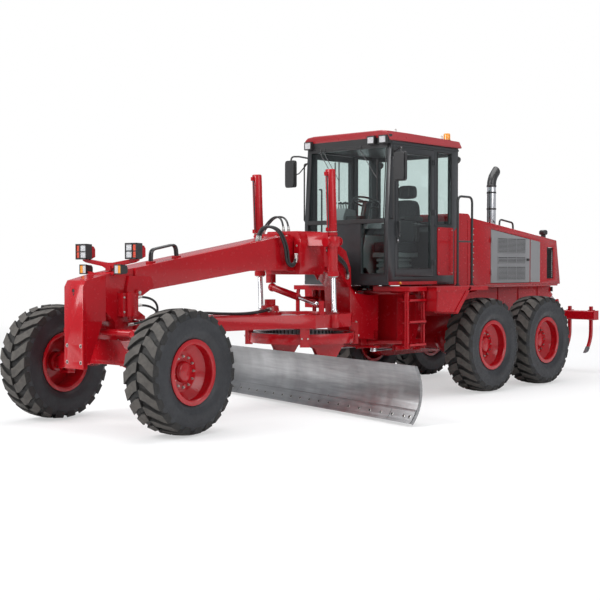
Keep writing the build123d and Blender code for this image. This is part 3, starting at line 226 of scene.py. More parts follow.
def rounded(made, width, angle):
    """Breaks the edges that are sharper than an angle."""
    edge = made.modifiers.new("edge", "BEVEL")
    edge.width, edge.segments = width, 2
    edge.limit_method, edge.angle_limit = "ANGLE", math.radians(angle)
    edge.harden_normals = True


def finish(material, width, *names, merge=True):
    """Weld CAD nodes' triangles, break their edges, shade them smooth and give them a material."""
    for name in names:
        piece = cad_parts[name]
        if width:
            piece.modifiers.new("weld", "WELD").merge_threshold = 0.00002
            if merge:
                flat = piece.modifiers.new("flat", "DECIMATE")
                flat.decimate_type, flat.angle_limit = "DISSOLVE", math.radians(0.6)
            rounded(piece, width, 32)
        piece.data.polygons.foreach_set("use_smooth", [bool(width)] * len(piece.data.polygons))
        piece.data.materials.clear()
        piece.data.materials.append(material)


# One small part is repeated along a line or round the part's own Z axis.
repeat = bpy.data.node_groups.new("repeat_part", "GeometryNodeTree")
sockets = {}
for label, kind in (("Part", "Geometry"), ("Count", "Int"), ("Step", "Vector"), ("Turn", "Vector"),
                    ("Finish", "Material")):
    sockets[label] = repeat.interface.new_socket(label, in_out="INPUT", socket_type=f"NodeSocket{kind}").identifier
repeat.interface.new_socket("Row", in_out="OUTPUT", socket_type="NodeSocketGeometry")
given = repeat.nodes.new("NodeGroupInput").outputs
line = node(repeat, "GeometryNodeMeshLine", mode="OFFSET", Count=given["Count"], Offset=given["Step"])
turned = node(repeat, "ShaderNodeVectorMath", operation="SCALE", in_0=given["Turn"],
              Scale=node(repeat, "GeometryNodeInputIndex").outputs[0])
angles = node(repeat, "FunctionNodeEulerToRotation", Euler=turned.outputs[0])
placed = node(repeat, "GeometryNodeInstanceOnPoints", Points=line.outputs[0], Instance=given["Part"],
              Rotation=angles.outputs[0])
real = node(repeat, "GeometryNodeRealizeInstances", Geometry=placed.outputs[0])
coated = node(repeat, "GeometryNodeSetMaterial", Geometry=real.outputs[0], Material=given["Finish"])
repeat.links.new(coated.outputs[0], repeat.nodes.new("NodeGroupOutput").inputs[0])


def facing(origin, way, x_way=None):
    """Place with its Z axis along a direction."""
    z = Vector(way).normalized()
    x = Vector(x_way) if x_way else z.orthogonal()
    x = (x - z * x.dot(z)).normalized()
    place = Matrix((x, z.cross(x), z)).transposed().to_4x4()
    place.translation = Vector(origin)
    return place


class Piece:
    """Collects one piece's plates, rounds, pipes and repeats, in millimetres, and makes one mesh of
    them. place is the frame they are drawn in. With side at -1 they are mirrored to the right."""

    def __init__(self, name, body):
        self.name, self.body = name, body
        self.mesh, self.materials, self.index = bmesh.new(), [], 0
        self.place, self.side = Matrix(), 1

    def paint(self, material):
        if material not in self.materials:
            self.materials.append(material)
        self.index = self.materials.index(material)
        return self

    def at(self, place=Matrix()):
        self.place = place
        return self

    def add(self, points, faces):
        spots = [(self.place @ Vector(point)) * MM for point in points]
        made = [self.mesh.verts.new((x, y * self.side, z)) for x, y, z in spots]
        for face in faces:
            self.mesh.faces.new([made[i] for i in face]).material_index = self.index
        return self

    def plate(self, outline, low, high, way="y"):
        """Solid from an outline, run from low to high along an axis."""
        turn = {"y": lambda u, v, w: (u, w, v), "x": lambda u, v, w: (w, u, v), "z": lambda u, v, w: (u, v, w)}[way]
        n = len(outline)
        return self.add([turn(u, v, w) for w in (low, high) for u, v in outline],
                        [tuple(range(n)), tuple(range(2 * n - 1, n - 1, -1))]
                        + [(i, (i + 1) % n, n + (i + 1) % n, n + i) for i in range(n)])

    def box(self, x0, x1, y0, y1, z0, z1):
        return self.plate([(x0, z0), (x1, z0), (x1, z1), (x0, z1)], y0, y1)

    def boxes(self, *sizes):
        for size in sizes:
            self.box(*size)
        return self

    def frame(self, u0, u1, v0, v1, low, high, way, wide=14):
        """Four flat bars round an opening."""
        for a, b, c, d in ((u0 - wide, u1 + wide, v0 - wide, v0), (u0 - wide, u1 + wide, v1, v1 + wide),
                           (u0 - wide, u0, v0, v1), (u1, u1 + wide, v0, v1)):
            self.plate([(a, c), (b, c), (b, d), (a, d)], low, high, way)
        return self

    def lathe(self, profile, sides=32, start=(0, 0, 0), way=(0, 0, 1)):
        """Body turned from (radius, height) points about a line, a ring where none is on the line."""
        turn = Vector(way).to_track_quat("Z", "Y").to_matrix()
        points, rings, faces = [], [], []
        for radius, height in profile:
            count = sides if radius else 1
            rings.append(list(range(len(points), len(points) + count)))
            for k in range(count):
                angle = 2 * math.pi * k / sides
                spot = Vector((radius * math.cos(angle), radius * math.sin(angle), height))
                points.append(Vector(start) + turn @ spot)
        if all(radius for radius, height in profile):
            rings.append(rings[0])
        for a, b in zip(rings, rings[1:]):
            for k in range(sides):
                quad = list(dict.fromkeys((a[k % len(a)], a[(k + 1) % len(a)], b[(k + 1) % len(b)], b[k % len(b)])))
                if len(quad) > 2:
                    faces.append(quad)
        return self.add(points, faces)

    def tube(self, start, end, radius, sides=24):
        way = Vector(end) - Vector(start)
        return self.lathe([(0, 0), (radius, 0), (radius, way.length), (0, way.length)], sides, start, way)

    def bolt(self, radius, head):
        """A hexagon head on a washer, standing up from the place's own ground."""
        self.tube((0, 0, 0), (0, 0, head * 0.3), radius * 1.35, 16)
        return self.tube((0, 0, head * 0.3), (0, 0, head), radius, 6)

    def bolts(self, radius, head, way, *spots):
        """Bolts on a face that looks along way."""
        for spot in spots:
            self.at(facing(spot, way)).bolt(radius, head)
        return self.at()

    def bolt_ring(self, count, reach, height, radius, head):
        return self.row(lambda p: p.at(Matrix.Translation((reach, 0, height))).bolt(radius, head), count)

    def pipe(self, points, radius, bend, sides=12):
        """Round bar along straight runs joined by bends."""
        points = [Vector(point) for point in points]
        path = [points[0]]
        for a, b, c in zip(points, points[1:], points[2:]):
            into, out = (b - a).normalized(), (c - b).normalized()
            reach = min(bend * math.tan(into.angle(out) / 2), 0.48 * min((b - a).length, (c - b).length))
            near, far = b - into * reach, b + out * reach
            path += [near.lerp(b, k / 6).lerp(b.lerp(far, k / 6), k / 6) for k in range(7)]
        path.append(points[-1])
        side = (path[1] - path[0]).orthogonal().normalized()
        rings = []
        for k, here in enumerate(path):
            along = (path[min(k + 1, len(path) - 1)] - path[max(k - 1, 0)]).normalized()
            side = (side - along * side.dot(along)).normalized()
            across = along.cross(side)
            for s in range(sides):
                angle = 2 * math.pi * s / sides
                rings.append(here + radius * (side * math.cos(angle) + across * math.sin(angle)))
        faces = [[k * sides + s, k * sides + (s + 1) % sides, (k + 1) * sides + (s + 1) % sides, (k + 1) * sides + s]
                 for k in range(len(path) - 1) for s in range(sides)]
        faces += [list(range(sides)), list(range(len(rings) - 1, len(rings) - 1 - sides, -1))]
        return self.add(rings, faces)

    def row(self, part, count, step=None):
        """Repeats what part draws, by steps or else round Z, with Geometry Nodes, and takes it in."""
        small = Piece("part", self.body)
        part(small)
        bmesh.ops.recalc_face_normals(small.mesh, faces=small.mesh.faces)
        mesh = bpy.data.meshes.new("part")
        small.mesh.to_mesh(mesh)
        holder = put("part", mesh)
        change = holder.modifiers.new("repeat", "NODES")
        change.node_group = repeat
        change[sockets["Count"]] = count
        change[sockets["Step"]] = [s * MM for s in step or (0, 0, 0)]
        change[sockets["Turn"]] = (0, 0, 0 if step else 2 * math.pi / count)
        change[sockets["Finish"]] = self.materials[self.index]
        rows = bpy.data.meshes.new_from_object(holder.evaluated_get(bpy.context.evaluated_depsgraph_get()))
        place = self.place.copy()
        place.translation *= MM
        rows.transform(Matrix.Diagonal((1, self.side, 1, 1)) @ place)
        first = len(self.mesh.faces)
        self.mesh.from_mesh(rows)
        self.mesh.faces.ensure_lookup_table()
        for face in self.mesh.faces[first:]:
            face.material_index = self.index
        bpy.data.objects.remove(holder)
        return self

    def done(self, *nodes, bevel=2.0, sharp=35):
        """Makes the object, which rides its body and may stand for some CAD nodes."""
        bmesh.ops.recalc_face_normals(self.mesh, faces=self.mesh.faces)
        for face in self.mesh.faces:
            face.smooth = True
        for edge in self.mesh.edges:
            edge.smooth = len(edge.link_faces) != 2 or edge.calc_face_angle(0) <= math.radians(sharp)
        mesh = bpy.data.meshes.new(self.name)
        self.mesh.to_mesh(mesh)
        for material in self.materials:
            mesh.materials.append(material)
        made = put(self.name, mesh)
        if bevel:
            rounded(made, bevel * MM, sharp)
        if nodes:
            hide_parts(*nodes)
        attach(made, self.body)


red_enamel = enamel("red_enamel", (0.42, 0.004, 0.010), (0.38, 0.003, 0.008), 0.22, 0.02, 0.22, 0.9, 0.3)
black_enamel = enamel("black_enamel", (0.018, 0.018, 0.019), (0.024, 0.024, 0.024), 0.38, 0.03, 0.3)
rod_chrome = bright("rod_chrome", (0.78, 0.78, 0.8), 0.12)
zinc = bright("zinc", (0.62, 0.61, 0.58), 0.3)
dark_steel = bright("dark_steel", (0.13, 0.13, 0.135), 0.42)
finish(red_enamel, 0.004, "rear_frame")
finish(red_enamel, 0.003, "rear_cylinders")
finish(rod_chrome, 0.002, "articulation_rod_left", "articulation_rod_right")

trim = Piece("hitch_bolts", "rear").paint(zinc)
trim.at(facing((2000, 0, 1468), (0, 0, 1))).bolt_ring(8, 92, 0, 11, 12)
trim.at().paint(red_enamel)
for trim.side in BOTH:
    for x in (-1900, -1300, -700, 300, 900):
        trim.box(x - 6, x + 6, 419, 432, 1090, 1470)
trim.done(bevel=1.5)

# ---------------------------------------------------------------- tandem cases and drive axle
# Each pair of rear wheels hangs on a long welded case, closed by covers with rings of bolts, and
# the cases turn on the ends of the axle housing.
TANDEM_HALF = 760
HUB_HEIGHT = 675

finish(red_enamel, 0.004, "rear_axle")
covers = Piece("tandem_covers", "rear")
for covers.side in BOTH:
    for x in (TANDEM_HALF, -TANDEM_HALF, 0):
        covers.at(facing((x, 640, HUB_HEIGHT), (0, -1, 0))).paint(red_enamel)
        covers.lathe([(0, 14), (150, 14), (165, 4), (165, -6), (0, -6)], 40)
        covers.paint(zinc).bolt_ring(10, 140, 13, 9, 10)
    covers.at().paint(red_enamel).box(-900, 900, 640, 740, 922, 934)
    for x in (-380, 380):
        covers.tube((x, 735, 925), (x, 735, 958), 46)
covers.done(bevel=2)

# ---------------------------------------------------------------- rims
# Deep-dished steel rims under glossy red enamel, with a hub cap in the middle and a lock ring in
# the outer flange. A ring of studs and nuts holds each one to its hub.
FRONT_AXLE_X = 6600
HALF_TRACK = 1075
KING_PIN_Y = 820
FRONT_STEER = math.radians(6)

rim_red = enamel("rim_red", (0.42, 0.004, 0.010), (0.37, 0.003, 0.008), 0.2, 0.03, 0.35, 1.4, 0.35)


def wheel_place(x, side):
    """A wheel's own frame: Z outboard, the origin in its middle. The front ones stand turned."""
    place = Matrix.Translation((x, side * HALF_TRACK, HUB_HEIGHT)) @ Matrix.Rotation(-side * math.pi / 2, 4, "X")
    if x == FRONT_AXLE_X:
        king = Matrix.Translation((x, side * KING_PIN_Y, 0))
        place = king @ Matrix.Rotation(FRONT_STEER, 4, "Z") @ king.inverted() @ place
    return place


wheels = [(f"{end}_{label}", wheel_place(x, side))
          for end, x in (("front", FRONT_AXLE_X), ("middle", TANDEM_HALF), ("rear", -TANDEM_HALF))
          for label, side in SIDES]
for name, place in wheels:
    finish(rim_red, 0.003, f"rim_{name}")
    hub = Piece(f"hub_{name}", f"wheel_{name}").at(place).paint(zinc)
    hub.row(lambda p: p.at(Matrix.Translation((165, 0, 22))).bolt(14, 20).tube((0, 0, 18), (0, 0, 32), 8, 10), 12)
    hub.paint(rim_red).lathe([(0, 80), (88, 80), (102, 72), (108, 60), (0, 60)])
    hub.lathe([(138, 21), (142, 28), (186, 28), (190, 21)], 48)
    hub.lathe([(305, 150), (296, 158), (296, 186), (304, 194), (330, 196), (352, 189), (352, 184), (318, 184),
               (306, 172)], 64)
    hub.paint(dark_steel).pipe([(285, 0, 90), (270, 0, 120), (262, 0, 160)], 6, 20, 8)
    hub.done(bevel=0)

# ---------------------------------------------------------------- tyres
# Low-pressure tyres with two rows of slanting lugs, half a pitch apart. The rubber is smooth and
# blue-black on the side walls, and brown-grey where the lugs have worn on the ground.
LUGS = 22
LUG_WORN_FROM, CROWN_FROM = 0.648, 0.605


def rubber(name, colour, shade, rough, scale=6):
    material, tree, place = blank(name)
    grain = node(tree, "ShaderNodeTexNoise", Vector=place, Scale=160, Detail=6.0).outputs[0]
    shade_with(tree, Base_Color=blend(tree, drift(tree, place, scale, 0.0, 1.0, 6.0), colour, shade),
               Roughness=drift(tree, place, 30, rough - 0.1, rough + 0.1), Normal=bumps(tree, 0.25, 0.001, grain))
    return material


wall_rubber = rubber("wall_rubber", (0.013, 0.014, 0.017), (0.024, 0.026, 0.030), 0.48)
gap_rubber = rubber("gap_rubber", (0.012, 0.012, 0.012), (0.022, 0.020, 0.018), 0.7)
worn_rubber = rubber("worn_rubber", (0.088, 0.080, 0.071), (0.056, 0.051, 0.046), 0.8, 14)


def lug(piece, side):
    """One lug, from beside the tread's middle out over the shoulder."""
    points = []
    for y, top, middle, half in ((8, 675, 0.0, 4.6), (60, 673, 1.2, 4.8), (115, 669, 4.6, 5.1), (165, 663, 8.4, 5.3),
                                 (207, 653, 11.0, 5.5), (219, 606, 11.6, 5.1), (221, 578, 11.8, 4.4)):
        foot, inset = (min(top - 30, 634), 0) if y < 210 else (top - 6, 12)
        for radius, wide, drop in ((top, half, 0), (foot, half + 0.7, inset)):
            for way in (-1, 1):
                angle = math.radians(middle + way * wide)
                points.append((radius * math.cos(angle), radius * math.sin(angle), side * (y - drop)))
    faces = [(0, 1, 3, 2), (24, 25, 27, 26)]
    for a in range(0, 24, 4):
        faces += [(a + i, a + j, a + j + 4, a + i + 4) for i, j in ((0, 1), (2, 3), (0, 2), (1, 3))]
    piece.add(points, faces)


half_wall = [(317.3, 130), (317.3, 174.7), (352, 174.7), (378, 196), (392, 206), (412, 210), (424, 217), (452, 221),
             (500, 222), (560, 219), (575, 222), (586, 217), (612, 209), (628, 196), (636, 150), (640, 60)]
inner_wall = [(450, 190), (560, 186), (600, 155)]
section = half_wall + [(r, -z) for r, z in reversed(half_wall)] + [(r, -z) for r, z in inner_wall] + inner_wall[::-1]
for name, place in wheels:
    tyre = Piece(f"tread_{name}", f"wheel_{name}").at(place).paint(wall_rubber).lathe(section, 88)
    tyre.paint(gap_rubber)
    for row, shift in ((1, 0.0), (-1, math.pi / LUGS)):
        tyre.at(place @ Matrix.Rotation(shift, 4, "Z")).row(lambda p: lug(p, row), LUGS)
    tyre.paint(worn_rubber)
    axle = place.translation * MM
    out = (place.to_3x3() @ Vector((0, 0, 1))).normalized()
    for face in tyre.mesh.faces:
        away = [v.co - axle for v in face.verts]
        reach = min((a - out * a.dot(out)).length for a in away)
        if face.material_index == 1 and reach > LUG_WORN_FROM:
            face.material_index = 2
        elif face.material_index == 0 and reach > CROWN_FROM:
            face.material_index = 1
    tyre.done(f"tyre_{name}", bevel=3, sharp=28)

# ---------------------------------------------------------------- front frame
# The main beam, gooseneck and nose are box sections welded from plate. The push block is bolted to
# the nose, the steering pump units stand at its sides, and web plates stiffen the gooseneck.
NOSE_FACE_X = 7160
BEAM_FRONT_X, BEAM_FRONT_Z = 6460, 1776
BEAM_FALL = (2185 - BEAM_FRONT_Z) / (BEAM_FRONT_X - 3990)

finish(red_enamel, 0.005, "front_frame")
finish(red_enamel, 0.012, "push_plate")
nose = Piece("nose_trim", "front")
for nose.side in BOTH:
    nose.paint(red_enamel)
    nose.plate([(6200, 1560), (6240, 1680), (6560, 1690), (6600, 1500), (6520, 1470), (6440, 1420), (6360, 1470)],
               160, 214)
    nose.tube((6440, 205, 1500), (6440, 244, 1500), 40, 28)
    nose.box(6470, 6690, 160, 262, 1240, 1500)
    for low, high, radius, sides in ((1240, 1500, 60, 28), (1500, 1516, 44, 24), (1205, 1240, 36, 24)):
        nose.tube((6580, 262, low), (6580, 262, high), radius, sides)
    nose.plate([(3330, 1800), (3330, 2090), (3000, 1960), (2860, 1760), (2860, 1600), (3000, 1770)], 222, 238)
    nose.plate([(6900, 1190), (7120, 1200), (7120, 760), (7080, 740)], 163, 173)
    nose.paint(zinc).tube((6440, 244, 1500), (6440, 256, 1500), 22, 6)
    nose.bolts(9, 10, (0, 1, 0), (6670, 262, 1290), (6670, 262, 1450))
nose.paint(red_enamel).at(facing((NOSE_FACE_X, 0, 1530), (1, 0, 0), (0, 1, 0)))
nose.lathe([(22, 0), (22, 5), (30, 5), (33, 0)], 36)
nose.paint(black_enamel).lathe([(0, 1.5), (22, 1.5), (22, 0.2), (0, 0.2)], 36)
nose.plate([(-26, 4), (26, 4), (0, -62)], 0.4, 1.6, "z")
nose.paint(zinc)
for y in (-120, 120):
    for z in (750, 930):
        nose.at(facing((NOSE_FACE_X, y, z), (1, 0, 0)))
        nose.lathe([(13, -14), (13, 1), (20, 3), (22, 0), (22, -0.5)], 24)
nose.done(bevel=3)

# ---------------------------------------------------------------- grab hoop on the beam
# Two round steel pipes are bent side by side into a hoop and painted black. Their feet stand on
# red pads welded to the top of the beam.
hoop = Piece("beam_hoop", "front").paint(black_enamel)
for y in (45, 84):
    hoop.pipe([(6120, y, 1834), (6112, y, 1985), (5740, y, 2056), (5722, y, 1900)], 14, 70, 16)
hoop.paint(red_enamel)
for x in (6120, 5726):
    top, dip = BEAM_FRONT_Z + (BEAM_FRONT_X - x) * BEAM_FALL, 40 * BEAM_FALL
    hoop.plate([(x - 40, top + dip), (x + 40, top - dip), (x + 40, top + 18), (x - 40, top + 18 + dip)], 25, 105)
hoop.done("hoses", bevel=2)

# ---------------------------------------------------------------- head lamps
# Square black housings on red brackets. Each has two stacked clear lenses inboard and a red-orange
# strip outboard, with a small clear and amber turn lamp below.
LAMP_Y, TURN_LAMP_Y = 440, 306


def lens(name, colour):
    """A moulded lens with fine ribs."""
    material, tree, place = blank(name)
    ribs = node(tree, "ShaderNodeTexWave", Vector=place, Scale=60, Distortion=0.4).outputs[1]
    shade_with(tree, Base_Color=blend(tree, drift(tree, place, 30, 0.0, 1.0), colour, dimmer(colour, 0.82)),
               Roughness=0.12, Coat_Weight=0.8, Normal=bumps(tree, 0.35, 0.001, ribs))
    return material


clear_lens = lens("clear_lens", (0.60, 0.61, 0.62))
amber_lens = lens("amber_lens", (0.90, 0.33, 0.02))
red_lens = lens("red_lens", (0.66, 0.07, 0.03))
lamps = Piece("head_lamps_full", "front").paint(red_enamel)
lamps.plate([(6610, 1757), (6690, 1743), (6690, 1800), (6610, 1800)], -45, 45)
lamps.plate([(-60, 1770), (60, 1770), (130, 1800), (130, 1836), (-130, 1836), (-130, 1800)], 6622, 6678, "x")
for lamps.side in BOTH:
    y = LAMP_Y
    lamps.paint(red_enamel)
    lamps.plate([(60, 1796), (130, 1796), (420, 1838), (475, 1858), (475, 1878), (410, 1878), (60, 1836)],
                6626, 6674, "x")
    lamps.plate([(6650, 1870), (6650, 2030), (6600, 2020), (6580, 1990), (6580, 1900)], y - 80, y + 80)
    lamps.paint(black_enamel)
    lamps.plate([(6712, 1872), (6712, 2050), (6640, 2046), (6640, 1876)], y - 98, y + 98)
    for low, high in ((1872, 1888), (1957, 1965), (2034, 2050)):
        lamps.box(6710, 6728, y - 98, y + 98, low, high)
    for inner, outer in ((-98, -84), (14, 30), (84, 98)):
        lamps.box(6710, 6728, y + inner, y + outer, 1872, 2050)
    lamps.paint(clear_lens)
    lamps.boxes((6710, 6720, y - 84, y + 14, 1889, 1956), (6710, 6720, y - 84, y + 14, 1966, 2033))
    lamps.paint(red_lens).box(6710, 6720, y + 30, y + 84, 1889, 2033)
    y = TURN_LAMP_Y
    lamps.paint(red_enamel).plate([(150, 1690), (270, 1716), (270, 1742), (150, 1724)], 6740, 6780, "x")
    lamps.paint(black_enamel)
    lamps.plate([(6792, 1708), (6792, 1814), (6720, 1806), (6704, 1780), (6704, 1730), (6720, 1712)], y - 60, y + 60)
    lamps.boxes((6788, 6804, y - 61, y + 61, 1706, 1717), (6788, 6804, y - 61, y + 61, 1805, 1816),
                (6788, 6804, y - 61, y - 52, 1706, 1816), (6788, 6804, y + 52, y + 61, 1706, 1816))
    lamps.paint(clear_lens).box(6790, 6799, y - 52, y + 4, 1717, 1805)
    lamps.paint(amber_lens).box(6790, 6799, y + 5, y + 52, 1717, 1805)
lamps.done("head_lamps", bevel=3)

# ---------------------------------------------------------------- front axle and steering
# A cast axle beam carries leaning wheel yokes. A tie bar keeps the yokes parallel, and the steering
# rod pushes an arm on each knuckle.
finish(red_enamel, 0.005, "front_axle", "lean_bar", "lean_yoke_left", "lean_yoke_right", "knuckle_left",
       "knuckle_right")
finish(rod_chrome, 0.002, "steering_rod")
axle = Piece("axle_trim", "front")
for axle.side in BOTH:
    axle.paint(red_enamel)
    for y in (230, 330, 430):
        axle.box(6494, 6706, y - 9, y + 9, 690, 980 - (y - 230) * 1.02)
    axle.paint(zinc).bolts(13, 14, (0, 0, 1), (6520, 150, 980), (6680, 150, 980))
axle.done(bevel=3)

# ---------------------------------------------------------------- lift cylinders and their saddle
# The saddle clasps the beam and holds both lift cylinders by trunnions. A thin pipe feeds the top of
# each barrel, and the rods are hard-chromed.
LIFT_LEAN = math.radians(2.6)
LIFT_WAY = (math.sin(LIFT_LEAN), 0, math.cos(LIFT_LEAN))

finish(red_enamel, 0.006, "lift_saddle")
finish(red_enamel, 0.004, "lift_barrels")
finish(rod_chrome, 0.002, "lift_rods")
saddle = Piece("saddle_trim", "front")
for x, way in ((3830, 1), (3350, -1)):
    for angle in (-56, -28, 0, 28, 56):
        turn = math.radians(angle)
        y, z = 205 * math.sin(turn), 2010 + 195 * math.cos(turn)
        saddle.paint(red_enamel).tube((x, y, z), (x + way * 20, y, z), 34)
        saddle.paint(zinc).bolts(13, 13, (way, 0, 0), (x + way * 20, y, z))
    for saddle.side in BOTH:
        saddle.paint(red_enamel)
        saddle.plate([(322, 1850), (322, 2060), (300, 2130), (232, 2130), (232, 1850)],
                     x - way * 16, x + way * 26, "x")
        saddle.paint(zinc).bolts(11, 12, (way, 0, 0), (x + way * 26, 280, 1890), (x + way * 26, 280, 2060))
for y in (650, -650):
    saddle.at(facing((3590, y, 2150), LIFT_WAY, (1, 0, 0))).paint(red_enamel)
    for way in (1, -1):
        saddle.tube((way * 70, 0, -40), (way * 132, 0, -40), 42, 28)
        saddle.tube((way * 128, 0, -40), (way * 142, 0, -40), 56, 28)
    saddle.lathe([(65.3, -480), (74, -480), (74, -420), (65.3, -420)], 36)
    saddle.lathe([(66, 40), (73, 40), (73, 64), (66, 64)], 36)
    saddle.lathe([(0, 884), (52, 884), (62, 878), (66, 868), (0, 868)], 36)
    saddle.boxes((60, 104, -18, 18, 800, 850), (60, 104, -18, 18, 96, 146))
    saddle.paint(zinc).lathe([(66, 84), (70, 84), (70, 92), (66, 92)], 36)
    saddle.lathe([(33, -478), (46, -494), (56, -494), (64, -481)], 36)
    saddle.paint(black_enamel).pipe([(88, 0, 812), (88, 20, 780), (88, 20, 150), (88, 0, 120)], 9, 30, 10)
saddle.done(bevel=3)

# ---------------------------------------------------------------- hydraulic hoses
# Black rubber hoses with crimped bright ends. They arch from the beam to the saddle, drop along the
# gooseneck, feed the steering pump units and lie on the drawbar.
hose_rubber = rubber("hose_rubber", (0.014, 0.014, 0.015), (0.022, 0.022, 0.023), 0.4)
fittings = {}


def hose(name, body, thick, *points):
    """A hose along a few points, with a crimped sleeve at each end."""
    curve = bpy.data.curves.new(name, "CURVE")
    curve.dimensions, curve.bevel_depth, curve.bevel_resolution = "3D", thick * MM / 2, 4
    curve.use_fill_caps, curve.resolution_u = True, 12
    curve.materials.append(hose_rubber)
    path = curve.splines.new("NURBS")
    path.points.add(len(points) - 1)
    for point, at in zip(path.points, points):
        point.co = (*(MM * c for c in at), 1)
    path.order_u = 3
    path.use_endpoint_u = True
    made = put(name, curve)
    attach(made, body)
    if body not in fittings:
        fittings[body] = Piece(f"hose_ends_{body}", body).paint(zinc)
    sleeve = [(0.52, 2), (0.72, 2), (0.74, 30), (0.62, 34), (0.62, 58), (0.52, 60)]
    for end, near in (points[:2], points[:-3:-1]):
        way = (Vector(near) - Vector(end)).normalized()
        fittings[body].lathe([(thick * reach, height) for reach, height in sleeve], 20, end, way)
        fittings[body].tube(Vector(end) - way * 12, Vector(end) + way * 6, thick * 0.85, 6)


for index, d in enumerate((0, 46)):
    hose(f"beam_hose_{index}", "front", 34, (4420 - d, 120, 2122), (4400 - d, 130, 2300), (4200 - d, 250, 2290),
         (4080 - d, 285, 2060), (4060 - d, 285, 1820), (3900, 285, 1780 + d), (3860, 275, 1900 + d))
    hose(f"top_hose_{index}", "front", 26, (3640, -60 - d * 2, 2262), (3640, -70 - d * 2, 2420),
         (3610, -300 - d, 2470), (3600, -480 - d, 2350), (3600, -560, 2240 + d))
    hose(f"neck_hose_{index}", "front", 34, (3340, 270, 2050 - d), (3220, 275, 2060 - d), (3080, 290, 1960 - d),
         (2930, 295, 1870 - d), (2840, 290, 1760 - d / 2), (2790, 240, 1670 - d / 2))
    hose(f"pump_hose_{index}", "front", 26, (6465, 235, 1450 - d * 2), (6330, 250, 1455 - d * 2),
         (6190, 262, 1380 - d * 2), (6190 + d, 262, 1240), (6330 + d / 2, 250, 1170), (6520 + d, 205, 1150))
    hose(f"drawbar_hose_{index}", "drawbar", 34, (5480, 20 - d, 1186), (5330, 60 - d, 1240), (5000, 90 - d, 1215),
         (4600, 150 - d, 1205), (4350, 180 - d, 1230), (4150, 90 - d / 2, 1250))
for ends in fittings.values():
    ends.done(bevel=0)

# ---------------------------------------------------------------- drawbar and circle
# A welded A-shaped drawbar pulls the circle, which turns in four bolted shoes. A gearbox with its
# motor on the drawbar meshes with the teeth inside the circle.
CIRCLE = Matrix.Translation((3450, 0, 0))

finish(red_enamel, 0.005, "drawbar_ball", "drawbar", "circle", "blade_carrier", "shift_barrel")
finish(rod_chrome, 0.002, "shift_rod")
drive = Piece("circle_drive", "drawbar").at(Matrix.Translation((4060, 0, 0))).paint(red_enamel)
drive.lathe([(0, 1176), (150, 1176), (150, 1212), (118, 1222), (108, 1290), (70, 1304), (70, 1372), (0, 1372)], 40)
drive.paint(zinc).bolt_ring(10, 134, 1212, 10, 11)
for angle in (45, 135, 225, 315):
    drive.at(CIRCLE @ Matrix.Rotation(math.radians(angle), 4, "Z"))
    drive.paint(red_enamel).box(640, 752, -62, 62, 1029, 1052)
    drive.paint(zinc)
    for y in (-38, 38):
        drive.tube((726, y, 1052), (726, y, 1068), 13, 6)
        drive.tube((751, y, 880), (764, y, 880), 12, 6)
drive.at().paint(red_enamel)
for drive.side in BOTH:
    drive.plate([(6200, 98), (4330, 328), (4330, 316), (6200, 86)], 1172, 1188, "z")
drive.done(bevel=3)

teeth = Piece("circle_teeth", "circle").at(CIRCLE).paint(dark_steel)
teeth.lathe([(572, 803), (572, 927), (560, 927), (560, 803)], 64)
teeth.row(lambda p: p.plate([(562, -18), (562, 18), (534, 9), (534, -9)], 806, 924, "z"), 60)
teeth.lathe([(640, 929.6), (640, 932), (690, 932), (690, 929.6)], 72)
teeth.done(bevel=0)

# ---------------------------------------------------------------- blade
# The moldboard is rolled plate, brushed and polished by soil. A hardened cutting edge and end bits
# are bolted along its foot with countersunk bolts, and a plate closes each end.
BLADE_TURN, BLADE_TILT = math.radians(14.7), math.radians(4)
BLADE_LEFT, BLADE_RIGHT = 573 + 2135, 573 - 2135
CURL = (325 * 325 + 110 * 110) / 220         # radius of the moldboard's rolled plate
UP = Vector((-math.sin(BLADE_TILT), 0, math.cos(BLADE_TILT)))
BACK = Vector((-math.cos(BLADE_TILT), 0, -math.sin(BLADE_TILT)))
CURL_CENTRE = Vector((330, 0, 35)) + UP * 325 + BACK * (110 - CURL)


def brushed_steel_with_painted_shade(name, colour, rough):
    """Steel brushed along the blade, with darker upright clouds painted on it as shade."""
    material, tree, place = blank(name)
    streak = drift(tree, turned_place(tree, place, BLADE_TURN, (3, 2.2, 34)), 1.0, 0.0, 1.0, 8.0)
    upright = turned_place(tree, place, BLADE_TURN, (2, 3.4, 0.9))
    # The darker upright clouds are painted shade, mixed into the steel's colour.
    painted_cloud_shade = math_node(tree, "MULTIPLY", drift(tree, upright, 1.0, 0.0, 1.0, 3.0), 0.55)
    tone = blend(tree, streak, colour, dimmer(colour, 0.74))
    shade_with(tree, Base_Color=blend(tree, painted_cloud_shade, tone, dimmer(colour, 0.5)), Metallic=1.0,
               Roughness=drift(tree, upright, 1.3, rough - 0.07, rough + 0.09),
               Normal=bumps(tree, 0.12, 0.0004, streak))
    return material


def outward(degrees):
    """Direction from the curl's centre to the moldboard."""
    turn = math.radians(degrees)
    return BACK * math.cos(turn) + UP * math.sin(turn)


blade_steel = brushed_steel_with_painted_shade("blade_steel", (0.43, 0.43, 0.435), 0.34)
edge_steel = brushed_steel_with_painted_shade("edge_steel", (0.40, 0.40, 0.405), 0.38)
# Black for the seams across the cutting edge, and painted shade for the insides of its bolt holes.
seam_black_and_hole_shade = rubber("seam_black_and_hole_shade", (0.012, 0.012, 0.012), (0.02, 0.018, 0.016), 0.7)
finish(blade_steel, 0.003, "moldboard")
finish(edge_steel, 0.0015, "cutting_edge")
ground = CIRCLE @ Matrix.Rotation(-BLADE_TURN, 4, "Z")
blade = Piece("blade_trim", "blade")


def on_blade(degrees, y):
    """Puts the blade's place on the cutting edge's front, its Z axis facing forward."""
    way = outward(degrees)
    spot = CURL_CENTRE + way * (CURL - 19.4)
    return blade.at(ground @ facing((spot.x, y, spot.z), -way, (0, 1, 0)))
